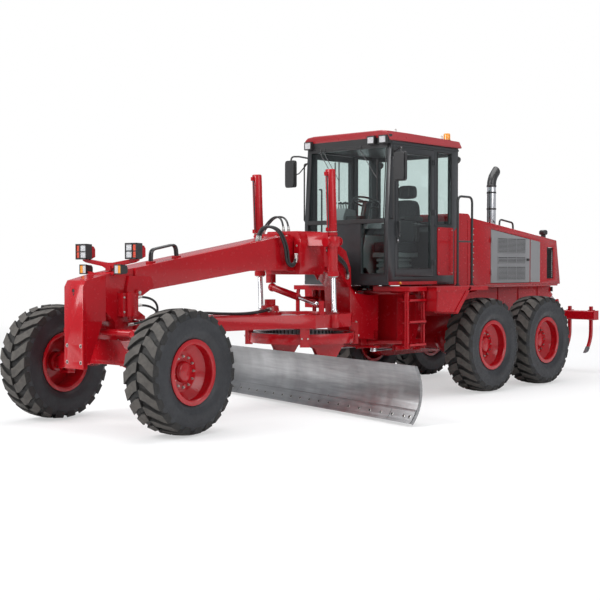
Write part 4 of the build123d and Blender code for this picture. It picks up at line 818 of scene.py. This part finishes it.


# Each bolt is a bright ring round a black disc, which is painted shade of its countersunk hole.
for y in [BLADE_RIGHT + 60 + 213 * k for k in range(20)] + [BLADE_LEFT - 60]:
    on_blade(-29, y).paint(zinc).lathe([(16, 0.2), (16, 1.8), (21, 0.2)], 20)
    blade.paint(seam_black_and_hole_shade).lathe([(0, 1.1), (16, 1.1), (16, 0.2), (0, 0.2)], 20)
# Thin black strips across the edge mark the seams between its sections.
for y in (BLADE_LEFT - 420, BLADE_RIGHT + 420):
    for degrees in (-36, -33.5, -31, -28.5, -26, -23.5):
        on_blade(degrees, y).box(-1.6, 1.6, -11.5, 11.5, 0.1, 0.7)
blade.at(ground).paint(edge_steel)
rim = [CURL_CENTRE + outward(degrees) * reach
       for reach, sweep in ((CURL - 4, range(-37, 38, 6)), (CURL + 30, range(35, -38, -6))) for degrees in sweep]
for side, y in ((1, BLADE_LEFT), (-1, BLADE_RIGHT)):
    blade.plate([(p.x, p.z) for p in rim], y + side * 0.3, y + side * 9)
blade.done(bevel=0)

# ---------------------------------------------------------------- cab shell, roof and doors
# The cab is a charcoal frame of box posts with a dark red roof, red lower side panels, rubber
# seals round the panes and gutters above the doors.
charcoal_enamel = enamel("charcoal_enamel", (0.027, 0.029, 0.032), (0.020, 0.022, 0.024), 0.36, 0.03, 0.2)
seal_rubber = rubber("seal_rubber", (0.012, 0.012, 0.012), (0.018, 0.018, 0.018), 0.55)
roof_red = enamel("roof_red", (0.36, 0.012, 0.018), (0.32, 0.009, 0.014), 0.33, 0.0, 0.4)
finish(charcoal_enamel, 0.005, "cab_shell", "door_left", "door_right", merge=False)
cab = Piece("cab_trim", "rear")
for cab.side in BOTH:
    cab.paint(red_enamel)
    cab.plate([(1030, 1690), (1050, 1670), (1400, 1670), (1420, 1690), (1420, 2330), (1400, 2350), (1050, 2350),
               (1030, 2330)], 749, 759)
    cab.box(1430, 2540, 749, 759, 1545, 1590)
    cab.paint(zinc).bolts(7, 6, (0, 1, 0), *((x, 759, z) for x in (1062, 1388) for z in (1705, 2315)))
    cab.paint(charcoal_enamel)
    cab.plate([(905, 3450), (2478, 3450), (2480, 3478), (905, 3478)], 746, 764)
    cab.box(1030, 1490, 746, 760 if cab.side > 0 else 764, 2366, 2384)
    cab.paint(seal_rubber).frame(1080, 1410, 2400, 3400, 745, 755, "y")
    cab.frame(280, 680, 1700, 2380, 2546, 2556, "x", 12)
    cab.paint(black_enamel)
    cab.pipe([(2490, 745, 2440), (2500, 800, 2440), (2500, 800, 3260), (2478, 745, 3260)], 11, 40)
    cab.pipe([(1010, 690, 3440), (900, 700, 3440), (875, 705, 3400)], 11, 30, 10)
    cab.at(facing((905, 705, 3350), (-1, 0, -0.25)))
    cab.lathe([(0, 0), (42, 0), (52, 20), (52, 62), (44, 66), (44, 58), (0, 54)], 28)
    cab.paint(clear_lens).lathe([(0, 60), (44, 58), (44, 62), (0, 66)], 28)
    cab.at().paint(black_enamel).plate([(2552, 2436), (2560, 2436), (2500, 3404), (2490, 3404)], 666, 680)
cab.boxes((2552, 2562, -690, 690, 2384, 2436), (2470, 2512, -700, 700, 3396, 3500),
          (2466, 2520, -560, 560, 3420, 3470))
for y, tip in ((-470, -180), (-400, -110), (250, 560)):
    cab.pipe([(2508, y, 3440), (2530, y, 3420), (2528, y, 3380), (2560, tip, 2990)], 5, 18, 8)
    cab.tube((2500, y, 3440), (2526, y, 3440), 20, 16)
    cab.box(2546, 2556, tip - 8, tip + 8, 2700, 3240)
cab.done(bevel=2)

for label, side in SIDES:
    door = Piece(f"door_{label}_trim", f"door_{label}").paint(seal_rubber)
    door.side = side
    door.frame(1576, 2324, 1770, 3330, 744, 753, "y", 12).paint(black_enamel)
    door.pipe([(2270, 712, 1900), (2270, 670, 1900), (2270, 670, 2900), (2270, 712, 2900)], 12, 40)
    door.pipe([(2349, 748, 2220), (2349, 788, 2220), (2349, 788, 2400), (2349, 748, 2400)], 10, 20)
    door.pipe([(1640, 705, 2380), (1640, 660, 2380), (1900, 660, 2380), (1900, 705, 2380)], 11, 40)
    door.box(2330, 2368, 749, 761, 2110, 2190)
    door.paint(rod_chrome).lathe([(0, 8), (11, 8), (14, 4), (14, 0), (0, 0)], 20, (2349, 761, 2150), (0, 1, 0))
    door.done(bevel=2)

roof = Piece("roof", "rear").paint(roof_red)
points = []
for x, low, side_top, high, wide in ((862, 3506, 3560, 3572, 770), (872, 3496, 3594, 3604, 790),
                                     (1300, 3494, 3602, 3614, 790), (2100, 3492, 3612, 3624, 790),
                                     (2518, 3490, 3618, 3632, 756), (2548, 3560, 3604, 3618, 744)):
    edge = ((wide - 4, low), (wide, low + 14), (wide - 42, side_top), (600, high))
    points += [(x, -half, z) for half, z in edge] + [(x, half, z) for half, z in reversed(edge)]
roof.add(points, [tuple(range(8)), tuple(range(47, 39, -1))]
         + [(k + s, k + (s + 1) % 8, k + 8 + (s + 1) % 8, k + 8 + s) for k in range(0, 40, 8) for s in range(8)])
roof.box(1250, 1950, -320, 320, 3608, 3634)
for roof.side in BOTH:
    roof.boxes((1080, 2330, 622, 658, 3585, 3610), (1080, 2330, 392, 428, 3585, 3630))
roof.paint(black_enamel).plate([(2460, 3452), (2524, 3446), (2540, 3564), (2460, 3574)], -746, 746)
roof.paint(zinc)
for x, y in ((2200, 600), (2200, -600), (1100, 600), (1100, -600)):
    roof.pipe([(x - 16, y, 3600), (x - 16, y, 3672), (x + 16, y, 3672), (x + 16, y, 3600)], 6, 12, 8)
roof.done("cab_roof", bevel=8, sharp=25)

# ---------------------------------------------------------------- cab glass
# Pale green tempered panes in rubber seals. They are tinted where they let light through, and
# their outer face has a clear reflection at a glance.
green_glass, tree, place = blank("green_glass")
tint = (0.868, 0.916, 0.908)
tone = blend(tree, drift(tree, place, 1.3, 0.0, 1.0), tint, dimmer(tint, 0.96))
through = node(tree, "ShaderNodeBsdfTransparent", Color=tone)
glint = node(tree, "ShaderNodeBsdfGlossy", Color=(1, 1, 1, 1), Roughness=drift(tree, place, 3, 0.01, 0.04))
outer = math_node(tree, "SUBTRACT", 1.0, node(tree, "ShaderNodeNewGeometry").outputs["Backfacing"])
share = math_node(tree, "MULTIPLY", node(tree, "ShaderNodeFresnel", IOR=1.5).outputs[0], outer)
mixed = node(tree, "ShaderNodeMixShader", in_0=share, in_1=through.outputs[0], in_2=glint.outputs[0])
node(tree, "ShaderNodeOutputMaterial", Surface=mixed.outputs[0])
finish(green_glass, 0, "cab_glass", "door_left_glass", "door_right_glass")

# ---------------------------------------------------------------- work lamps and beacon
# Square work lamps with black housings and clear lenses are set in the fascia under the roof's
# edge. An amber beacon stands on a black foot at the roof's rear, and each sill has a side lamp.
works = Piece("work_lamps", "rear")
for y in (-664, 470, 672):
    works.paint(black_enamel).plate([(2515, 3448), (2574, 3442), (2582, 3556), (2515, 3556)], y - 66, y + 66)
    works.frame(y - 52, y + 52, 3458, 3542, 2577, 2589, "x", 11)
    works.paint(clear_lens).box(2576, 2584, y - 52, y + 52, 3458, 3542)
works.at(Matrix.Translation((1030, 640, 0)))
works.paint(black_enamel).lathe([(0, 3560), (62, 3560), (62, 3608), (54, 3614), (0, 3614)])
works.paint(amber_lens).lathe([(0, 3614), (52, 3614), (50, 3690), (42, 3708), (0, 3712)])
works.at()
for works.side in BOTH:
    works.lathe([(0, 0), (20, 0), (20, 22), (14, 30), (0, 32)], 20, (2300, 752, 1568), (0, 1, 0))
works.done("lamps", bevel=2)

# ---------------------------------------------------------------- seat
# A suspension seat with a folded grey bellows on its base and black arm rests. The cushions and
# the head rest are foam blocks under dark cloth.
seat_cloth = rubber("seat_cloth", (0.022, 0.024, 0.027), (0.036, 0.038, 0.042), 0.75, 60)
pod_grey = enamel("pod_grey", (0.33, 0.345, 0.345), (0.26, 0.27, 0.275), 0.5, 0.0, 0.1)
base = Piece("seat_base", "rear").paint(pod_grey)
base.boxes((1230, 1640, -190, 190, 1600.3, 1650), (1170, 1650, -230, 230, 1930, 2000))
for k in range(9):
    z, inset = 1660 + 42 * k, 0 if k % 2 else 22
    base.box(1250 + inset, 1620 - inset, -180 + inset, 180 - inset, z, z + 40)
base.paint(black_enamel)
for base.side in BOTH:
    base.plate([(1215, 2150), (1285, 2150), (1265, 2470), (1205, 2470)], 262, 290)
    base.plate([(1190, 2450), (1600, 2450), (1640, 2475), (1630, 2505), (1190, 2515)], 266, 336)
    base.tube((1190, 70, 2830), (1172, 70, 2960), 9, 12)
base.pipe([(1680, -60, 2070), (1730, -60, 2070), (1730, 60, 2070), (1680, 60, 2070)], 8, 20, 8)
base.done("seat", bevel=4)


def cushion(name, low, high, lean, tall):
    """A foam block rounded by subdivision, dished where one sits and leaned back. tall is the axis
    of its length besides its width: 0 for a flat cushion, 2 for an upright one."""
    shape = bmesh.new()
    bmesh.ops.create_cube(shape, size=1)
    bmesh.ops.subdivide_edges(shape, edges=shape.edges[:], cuts=5, use_grid_fill=True)
    thick, face, dish, back_puff = (0, 0, 14, 0.4) if tall else (2, 2, 16, 0.3)
    for vert in shape.verts:
        part = vert.co + Vector((0.5, 0.5, 0.5))
        at = Vector([a + (b - a) * p for a, b, p in zip(low, high, part)])
        across, up = abs(2 * part.y - 1), abs(2 * part[tall] - 1)
        at.y -= (at.y - (low[1] + high[1]) / 2) * (0.16 * up ** 4 + (0.10 * part[tall] if tall else 0))
        at[tall] -= (at[tall] - (low[tall] + high[tall]) / 2) * 0.10 * across ** 4
        puff = 22 * math.sin(math.pi * part.y) * math.sin(math.pi * part[tall])
        sink = dish * (1 - across) * (1 - up) * (part[face] > 0.9)
        at[thick] += puff * (1 if part[face] > 0.5 else -back_puff) - sink
        at.x -= lean * (at.z - low[2])
        vert.co = at * MM
    bmesh.ops.recalc_face_normals(shape, faces=shape.faces)
    mesh = bpy.data.meshes.new(name)
    shape.to_mesh(mesh)
    mesh.polygons.foreach_set("use_smooth", [True] * len(mesh.polygons))
    mesh.materials.append(seat_cloth)
    made = put(name, mesh)
    smooth = made.modifiers.new("round", "SUBSURF")
    smooth.levels = smooth.render_levels = 2
    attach(made, "rear")


cushion("seat_cushion", (1150, -262, 1995), (1670, 262, 2145), 0.0, 0)
cushion("seat_back", (1150, -246, 2105), (1275, 246, 2770), 0.115, 2)
cushion("head_rest", (1068, -150, 2792), (1175, 150, 2985), 0.06, 2)

# ---------------------------------------------------------------- steering column and controls
# A black steering wheel with a knob on a raked column, between two pedals. A grey lever pod stands
# at the right, with three short levers in each of its rows, and three dials face the seat.
desk = Piece("controls", "rear").paint(black_enamel)
desk.pipe([(2330, 0, 1602), (2110, 0, 2600), (2074, 0, 2700)], 52, 30, 20)
desk.at(facing((2075, 0, 2700), (-0.37, 0, 0.93), (0, 1, 0)))
desk.lathe([(190 + 14 * math.cos(a * math.pi / 6), 14 * math.sin(a * math.pi / 6)) for a in range(12)], 48)
desk.row(lambda p: p.plate([(20, -20), (180, -11), (180, 11), (20, 20)], -8, 6, "z"), 3)
desk.lathe([(0, 18), (40, 14), (58, 0), (58, -20), (0, -24)], 28)
desk.lathe([(0, 70), (16, 66), (22, 50), (16, 34), (8, 28), (8, 8), (0, 8)], 20, (0, 190, 0))
desk.at()
for x in (2160, 2230, 2300):
    for y in (-200, -290, -380):
        desk.tube((x + 20, y, 2580), (x, y, 2680), 6, 10)
        desk.lathe([(0, 0), (12, 4), (15, 18), (10, 32), (0, 36)], 14, (x, y, 2676), (-0.1, 0, 1))
for desk.side in BOTH:
    desk.plate([(2180, 1645), (2196, 1640), (2300, 1770), (2286, 1780)], 62, 158)
    desk.tube((2260, 110, 1700), (2340, 110, 1640), 12, 12)
desk.box(2200, 2380, -120, 120, 2400, 2500)
desk.paint(pod_grey).box(2170, 2480, -340, 340, 2320, 2400)
desk.plate([(2080, 2330), (2240, 2260), (2400, 2310), (2410, 2500), (2350, 2610), (2140, 2590)], -430, -150)
desk.plate([(1150, 1604), (1800, 1604), (1800, 1900), (1700, 2250), (1300, 2250), (1150, 1900)], -420, -300)
desk.paint(clear_lens)
for y in (-60, 0, 60):
    desk.lathe([(0, 3), (24, 3), (26, 0), (0, 0)], 24, (2200, y, 2455), (-1, 0, 0.1))
desk.done("cab_controls", bevel=4)

# ---------------------------------------------------------------- hood
# Red sheet steel over the engine, with grey side doors whose louvres are pressed in three fields, a
# slatted side vent, a barred rear grille, a hoop rail and a cap on top.
HOOD_SIDE = 600
HOOD_SLOPE = (2520 - 2230) / 2510
GRILLE_RAKE = 130 / 720


def hood_top(x):
    """Height of the hood's sloping top."""
    return 2520 - (310 - x) * HOOD_SLOPE


grey_enamel = enamel("grey_enamel", (0.27, 0.27, 0.275), (0.24, 0.24, 0.245), 0.4, 0.03, 0.2)
# Black for the vent slats and the grille bars, and for the sheets behind vents and louvres, which are painted shade
# of the engine bay.
black_vents_and_painted_shade = enamel("black_vents_and_painted_shade", (0.012, 0.012, 0.012), (0.018, 0.018, 0.018), 0.6, 0.0, 0.0)
finish(red_enamel, 0.008, "hood")
finish(dark_steel, 0.01, "engine")
hood = Piece("hood_trim", "rear")
for hood.side in BOTH:
    hood.paint(grey_enamel).plate([(-1664, 1546), (-1370, 1546), (-1370, hood_top(-1370) - 96),
                                   (-1664, hood_top(-1664) - 96)], HOOD_SIDE, 606)
    hood.paint(zinc).bolts(7, 6, (0, 1, 0), (-1645, 606, 1570), (-1390, 606, 1570), (-1645, 606, 2160),
                           (-1390, 606, 2200))
    # The black sheet behind the side vent is painted shade. The slats in front of it are black.
    hood.paint(black_vents_and_painted_shade).box(-2096, -1904, 560, 570, 1604, 2106).at(Matrix.Translation((0, 0, 1618)))
    hood.row(lambda p: p.plate([(572, 12), (597, -8), (597, -3), (572, 17)], -2098, -1902, "x"), 16, (0, 0, 30.5))
    hood.at().paint(black_enamel)
    hood.pipe([(x, 420, hood_top(x) + lift)
               for x, lift in ((-730, -8), (-740, 140), (-1130, 140), (-1140, -8))], 15, 60)
    hood.paint(red_enamel).box(306, 312, 540, 604, 1530, 2500)
    for x in (-180, 60, 290):
        hood.lathe([(0, 4), (12, 4), (15, 0), (0, 0)], 16, (x, HOOD_SIDE, 2080), (0, 1, 0))
    hood.paint(zinc)
    for z in range(1640, 2400, 90):
        hood.lathe([(0, 5), (8, 5), (10, 0), (0, 0)], 12, (270, HOOD_SIDE, z), (0, 1, 0))
# The black sheet behind the rear grille's bars is painted shade.
hood.paint(black_vents_and_painted_shade).plate([(-2290, 1600), (-2282, 1600), (-2195, 2140), (-2203, 2140)], -440, 440)
hood.at(Matrix.Translation((-2313, 0, 1640)))
hood.row(lambda p: p.box(0, 18, -425, 425, 0, 14), 13, (40 * GRILLE_RAKE, 0, 38))
hood.at().paint(black_enamel)
hood.lathe([(0, -12), (40, -12), (40, 80), (62, 88), (70, 110), (68, 146), (52, 164), (0, 168)], 36,
           (-2120, 400, hood_top(-2120)))
hood.done(bevel=2)

for label, side in SIDES:
    panel = Piece(f"engine_door_{label}_louvres", f"engine_door_{label}")
    panel.side = side
    finish(grey_enamel, 0.005, f"engine_door_{label}")
    for low, high in ((1590, 1790), (1850, 1940), (2010, 2230)):
        # A black sheet behind each field's grey louvres is painted shade.
        panel.paint(black_vents_and_painted_shade).box(-1205, -415, HOOD_SIDE, 602, low, high)
        panel.paint(grey_enamel).frame(-1205, -415, low, high, HOOD_SIDE, 609, "y", 10)
        count = round((high - low) / 20)
        panel.at(Matrix.Translation((0, 0, low + 6)))
        panel.row(lambda p: p.plate([(602, 7), (610, -3), (610, 1), (602, 11)], -1205, -415, "x"), count,
                  (0, 0, (high - low - 8) / count))
        panel.at().boxes((-945, -935, 601, 611, low, high), (-685, -675, 601, 611, low, high))
    panel.paint(black_enamel).box(-1322, -1258, HOOD_SIDE, 612, 1885, 1925)
    panel.pipe([(-1310, 606, 1905), (-1310, 630, 1905), (-1270, 630, 1905), (-1270, 606, 1905)], 6, 12, 8)
    panel.done(bevel=0)

# ---------------------------------------------------------------- tank and exhaust
# The tank between hood and cab is a red rounded box with a filler cap. The exhaust is a bright pipe
# with a guard ring at its foot and a cut tip, black with heat at its top.
FILLER = (560, 420, 0)
FLUE_X, FLUE_Y, FLUE_FOOT, FLUE_BEND_Z = -900, 165, hood_top(-900), 3080
FLUE_RADIUS, FLUE_SIDES = 73, 40

tank = Piece("tank", "rear").paint(red_enamel)
quarter = [k * math.pi / 12 for k in range(7)]
tank.plate([(350, 1510), (770, 1510), (770, 2420)]
           + [(680 + 90 * math.cos(angle), 2490 + 90 * math.sin(angle)) for angle in quarter]
           + [(440 - 90 * math.sin(angle), 2490 + 90 * math.cos(angle)) for angle in quarter], -600, 600)
for tank.side in BOTH:
    tank.boxes((370, 750, 335, 415, 1480.3, 1520), (408, 432, 599, 606, 1514, 2480), (688, 712, 599, 606, 1514, 2480))
tank.paint(zinc).lathe([(0, 2576), (66, 2576), (66, 2592), (56, 2594), (56, 2620), (0, 2620)], 32, FILLER)
tank.paint(black_enamel).lathe([(0, 2620), (68, 2620), (70, 2650), (60, 2660), (0, 2662)], 24, FILLER)
tank.done("fluid_tank", bevel=8, sharp=40)

heat_black = enamel("heat_black", (0.020, 0.020, 0.021), (0.032, 0.030, 0.028), 0.34, 0.0, 0.3)
stack = Piece("exhaust_stack", "rear").paint(rod_chrome)
stack.pipe([(FLUE_X, FLUE_Y, z) for z in (FLUE_FOOT - 6, FLUE_FOOT + 300, FLUE_BEND_Z)], 72, 10, FLUE_SIDES)
stack.paint(heat_black)
bend = []
for k in range(10):
    angle = math.radians(min(k, 8) * 45 / 8)
    past = 60 if k == 9 else 0
    bend.append((FLUE_X - 260 * (1 - math.cos(angle)) - past, FLUE_BEND_Z + 260 * math.sin(angle) + past, angle))
skin = []
for radius in (FLUE_RADIUS, FLUE_RADIUS - 7):
    for x, z, angle in bend:
        cut = 34 if x == bend[-1][0] else 0
        for s in range(FLUE_SIDES):
            u, v = (radius * way(2 * math.pi * s / FLUE_SIDES) for way in (math.cos, math.sin))
            lift = cut * u / radius
            skin.append((x + u * math.cos(angle) - lift * math.sin(angle), FLUE_Y + v,
                         z + u * math.sin(angle) + lift * math.cos(angle)))
loops = [(k, k + 1) for k in (*range(9), *range(10, 19))] + [(9, 19), (0, 10)]
stack.add(skin, [(a * FLUE_SIDES + s, a * FLUE_SIDES + (s + 1) % FLUE_SIDES, b * FLUE_SIDES + (s + 1) % FLUE_SIDES,
                  b * FLUE_SIDES + s) for a, b in loops for s in range(FLUE_SIDES)])
stack.pipe([(-800, FLUE_Y, FLUE_FOOT), (-800, FLUE_Y, 2960), (-834, FLUE_Y, 3000)], 12, 30)
stack.at(Matrix.Translation((FLUE_X, FLUE_Y, 0)))
stack.lathe([(FLUE_RADIUS, 3060), (79, 3066), (79, 3090), (FLUE_RADIUS, 3096)], FLUE_SIDES)
stack.lathe([(FLUE_RADIUS, FLUE_FOOT - 10), (104, FLUE_FOOT - 10), (104, FLUE_FOOT + 14), (80, FLUE_FOOT + 20)],
            FLUE_SIDES)
for z in (2700, 2960):
    stack.lathe([(FLUE_RADIUS, z), (77, z), (77, z + 26), (FLUE_RADIUS, z + 26)], FLUE_SIDES)
    stack.box(60, 110, -14, 14, z + 4, z + 22)
stack.done("exhaust", bevel=0)

# ---------------------------------------------------------------- platforms, ladders and fenders
# Decks of tread plate beside the cab, with ladders of folded channel between bent stiles, a step box
# and a sloping fender plate over the middle wheels.
FRAME_SIDE = 420.3           # just clear of the rear frame's web

deck_red = enamel("deck_red", (0.40, 0.008, 0.015), (0.33, 0.006, 0.012), 0.4, 0.3, 0.3, 1.6, studs=True)
decks = Piece("decks", "rear")
for decks.side in BOTH:
    decks.paint(deck_red).boxes((800, 2080, 770, 1200, 1514, 1525), (2060, 2460, FRAME_SIDE, 1040, 1514, 1525))
    decks.paint(red_enamel)
    decks.boxes((800, 2060, 1188, 1200, 1462, 1514), (2060, 2460, 1028, 1040, 1462, 1514),
                (800, 812, 770, 1188, 1462, 1514), (2448, 2460, FRAME_SIDE, 1028, 1462, 1514),
                (2036, 2052, 880, 1190, 1190, 1512), (1400, 2060, FRAME_SIDE, 800, 1425, 1514),
                (1420, 1680, FRAME_SIDE, 560, 1000, 1400), (1440, 1660, 560, 566, 1030, 1370))
    decks.plate([(1260, 1512), (1560, 1160), (2040, 1190), (2060, 1512)], 1180, 1190)
    decks.plate([(1225, 1505), (1262, 1515), (1600, 1172), (1560, 1140)], 820, 1200)
    decks.plate([(1290, 1500), (1312, 1500), (1622, 1180), (1600, 1160)], 1190, 1202)
    for x in (880, 1200):
        decks.plate([(FRAME_SIDE, 1300), (FRAME_SIDE, 1500), (1150, 1500), (1150, 1466)], x - 8, x + 8, "x")
    for x, bent in ((2078, 26), (2442, -26)):
        decks.pipe([(x, 996, 690), (x, 996, 1400), (x + bent, 990, 1505)], 17, 60, 10)
        decks.pipe([(x, 962, 690), (x, 962, 1400), (x + bent, 970, 1505)], 17, 60, 10)
    for z in (720, 1030, 1320):
        decks.paint(deck_red).box(2076, 2446, 900, 1040, z, z + 8)
        decks.paint(red_enamel).boxes((2076, 2446, 1032, 1040, z, z + 36), (2076, 2446, 900, 908, z, z + 30))
    decks.paint(zinc).bolts(9, 8, (0, 1, 0), (1600, 1190, 1470), (1800, 1190, 1470), (2000, 1190, 1470))
decks.done("platforms", bevel=2)

# ---------------------------------------------------------------- handrails and mirrors
# The rails are bent from round steel pipe, painted black, and stand on the decks on flanged feet.
# The mirrors have rounded housings on bent arms, fixed to the cab's front posts.
RAIL_Y = 950
MIRROR_Y, MIRROR_Z = 980, 3120

rails = Piece("rails", "rear").paint(black_enamel)
for rails.side in BOTH:
    rails.pipe([(840, RAIL_Y, 1526), (840, RAIL_Y, 2790), (1200, RAIL_Y, 2790), (1200, RAIL_Y, 1526)], 17, 90, 16)
    rails.pipe([(840, RAIL_Y, 2150), (1020, RAIL_Y, 2152), (1200, RAIL_Y, 2150)], 13, 10)
    for x in (840, 1200):
        rails.lathe([(0, 0), (44, 0), (44, 8), (22, 14), (22, 30), (0, 30)], 24, (x, RAIL_Y, 1525.2))
rails.done("handrails", bevel=0)

mirror_glass = bright("mirror_glass", (0.86, 0.88, 0.90), 0.05)
views = Piece("mirror_sets", "rear")
rim = []
for y, z, corner in ((65, 160, 0), (-65, 160, 1), (-65, -160, 2), (65, -160, 3)):
    for angle in (math.pi / 2 * (corner + k / 4) for k in range(5)):
        rim.append((y + 34 * math.cos(angle), z + 34 * math.sin(angle)))
for views.side in BOTH:
    views.paint(black_enamel).box(2400, 2460, 750.3, 768, 3290, 3390)
    views.pipe([(2430, 760, 3340), (2500, 900, 3372), (2570, 985, 3372), (2584, 985, 3280)], 13, 50)
    views.pipe([(2430, 760, 3310), (2560, 850, 3120), (2590, 920, 3100)], 9, 50, 10)
    for wide, tall, x0, x1 in ((1, 1, 2570, 2606), (0.84, 0.92, 2606, 2626), (0.88, 0.94, 2566, 2572)):
        views.paint(mirror_glass if x1 == 2572 else black_enamel)
        views.plate([(MIRROR_Y + y * wide, MIRROR_Z + z * tall) for y, z in rim], x0, x1, "x")
views.done("mirrors", bevel=4)

# ---------------------------------------------------------------- ripper and tail
# The ripper's beam carries five curved shanks in welded holders, with replaceable teeth. The rear
# frame above it has tail lamps and a tow pin.
finish(rod_chrome, 0.002, "ripper_rod")
rip = Piece("ripper_full", "ripper").paint(red_enamel)
rip.plate([(-3000, 914), (-2986, 900), (-2854, 900), (-2840, 914), (-2840, 1036), (-2854, 1050), (-2986, 1050),
           (-3000, 1036)], -950, 950)
for rip.side in BOTH:
    rip.plate([(-2400, 1005), (-2850, 1040), (-2850, 910), (-2400, 915), (-2360, 940), (-2360, 980)], 311, 350)
    rip.tube((-2400, 265, 960), (-2400, 352, 960), 28).tube((-2400, 350, 960), (-2400, 362, 960), 44)
    rip.box(-3004, -2836, 940, 956, 896, 1054)
rip.plate([(-2960, 1040), (-2841, 1040), (-2825, 1190), (-2845, 1240), (-2890, 1240)], 232.3, 262)
for y in range(-800, 801, 400):
    rip.paint(red_enamel)
    rip.plate([(-3000, 1120), (-3000, 700), (-2990, 610), (-2955, 520), (-2895, 430), (-2820, 350), (-2890, 372),
               (-2975, 450), (-3022, 530), (-3055, 620), (-3062, 700), (-3062, 1120)], y - 22, y + 22)
    rip.boxes((-3080, -2998, y - 48, y - 23, 890, 1060), (-3080, -2998, y + 23, y + 48, 890, 1060),
              (-3092, -3063, y - 48, y + 48, 890, 1060))
    rip.paint(dark_steel).plate([(-2905, 446), (-2806, 338), (-2900, 360), (-2950, 420)], y - 28, y + 28)
    rip.paint(zinc).tube((-3035, y - 62, 975), (-3035, y + 62, 975), 15, 16)
rip.done("ripper", bevel=3)

tail = Piece("tail_trim", "rear")
for tail.side in BOTH:
    tail.paint(black_enamel).box(-2360, -2330, 310, 450, 1380, 1460)
    for glass, y in ((red_lens, 415), (amber_lens, 345)):
        tail.paint(glass).lathe([(0, 8), (28, 8), (32, 0), (0, 0)], 24, (-2360, y, 1420), (-1, 0, 0))
tail.paint(red_enamel).boxes((-2385, -2330, -90, 90, 1190, 1210), (-2385, -2330, -90, 90, 1110, 1130))
tail.paint(zinc).tube((-2365, 0, 1095), (-2365, 0, 1240), 18, 20)
tail.done(bevel=3)

low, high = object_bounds()
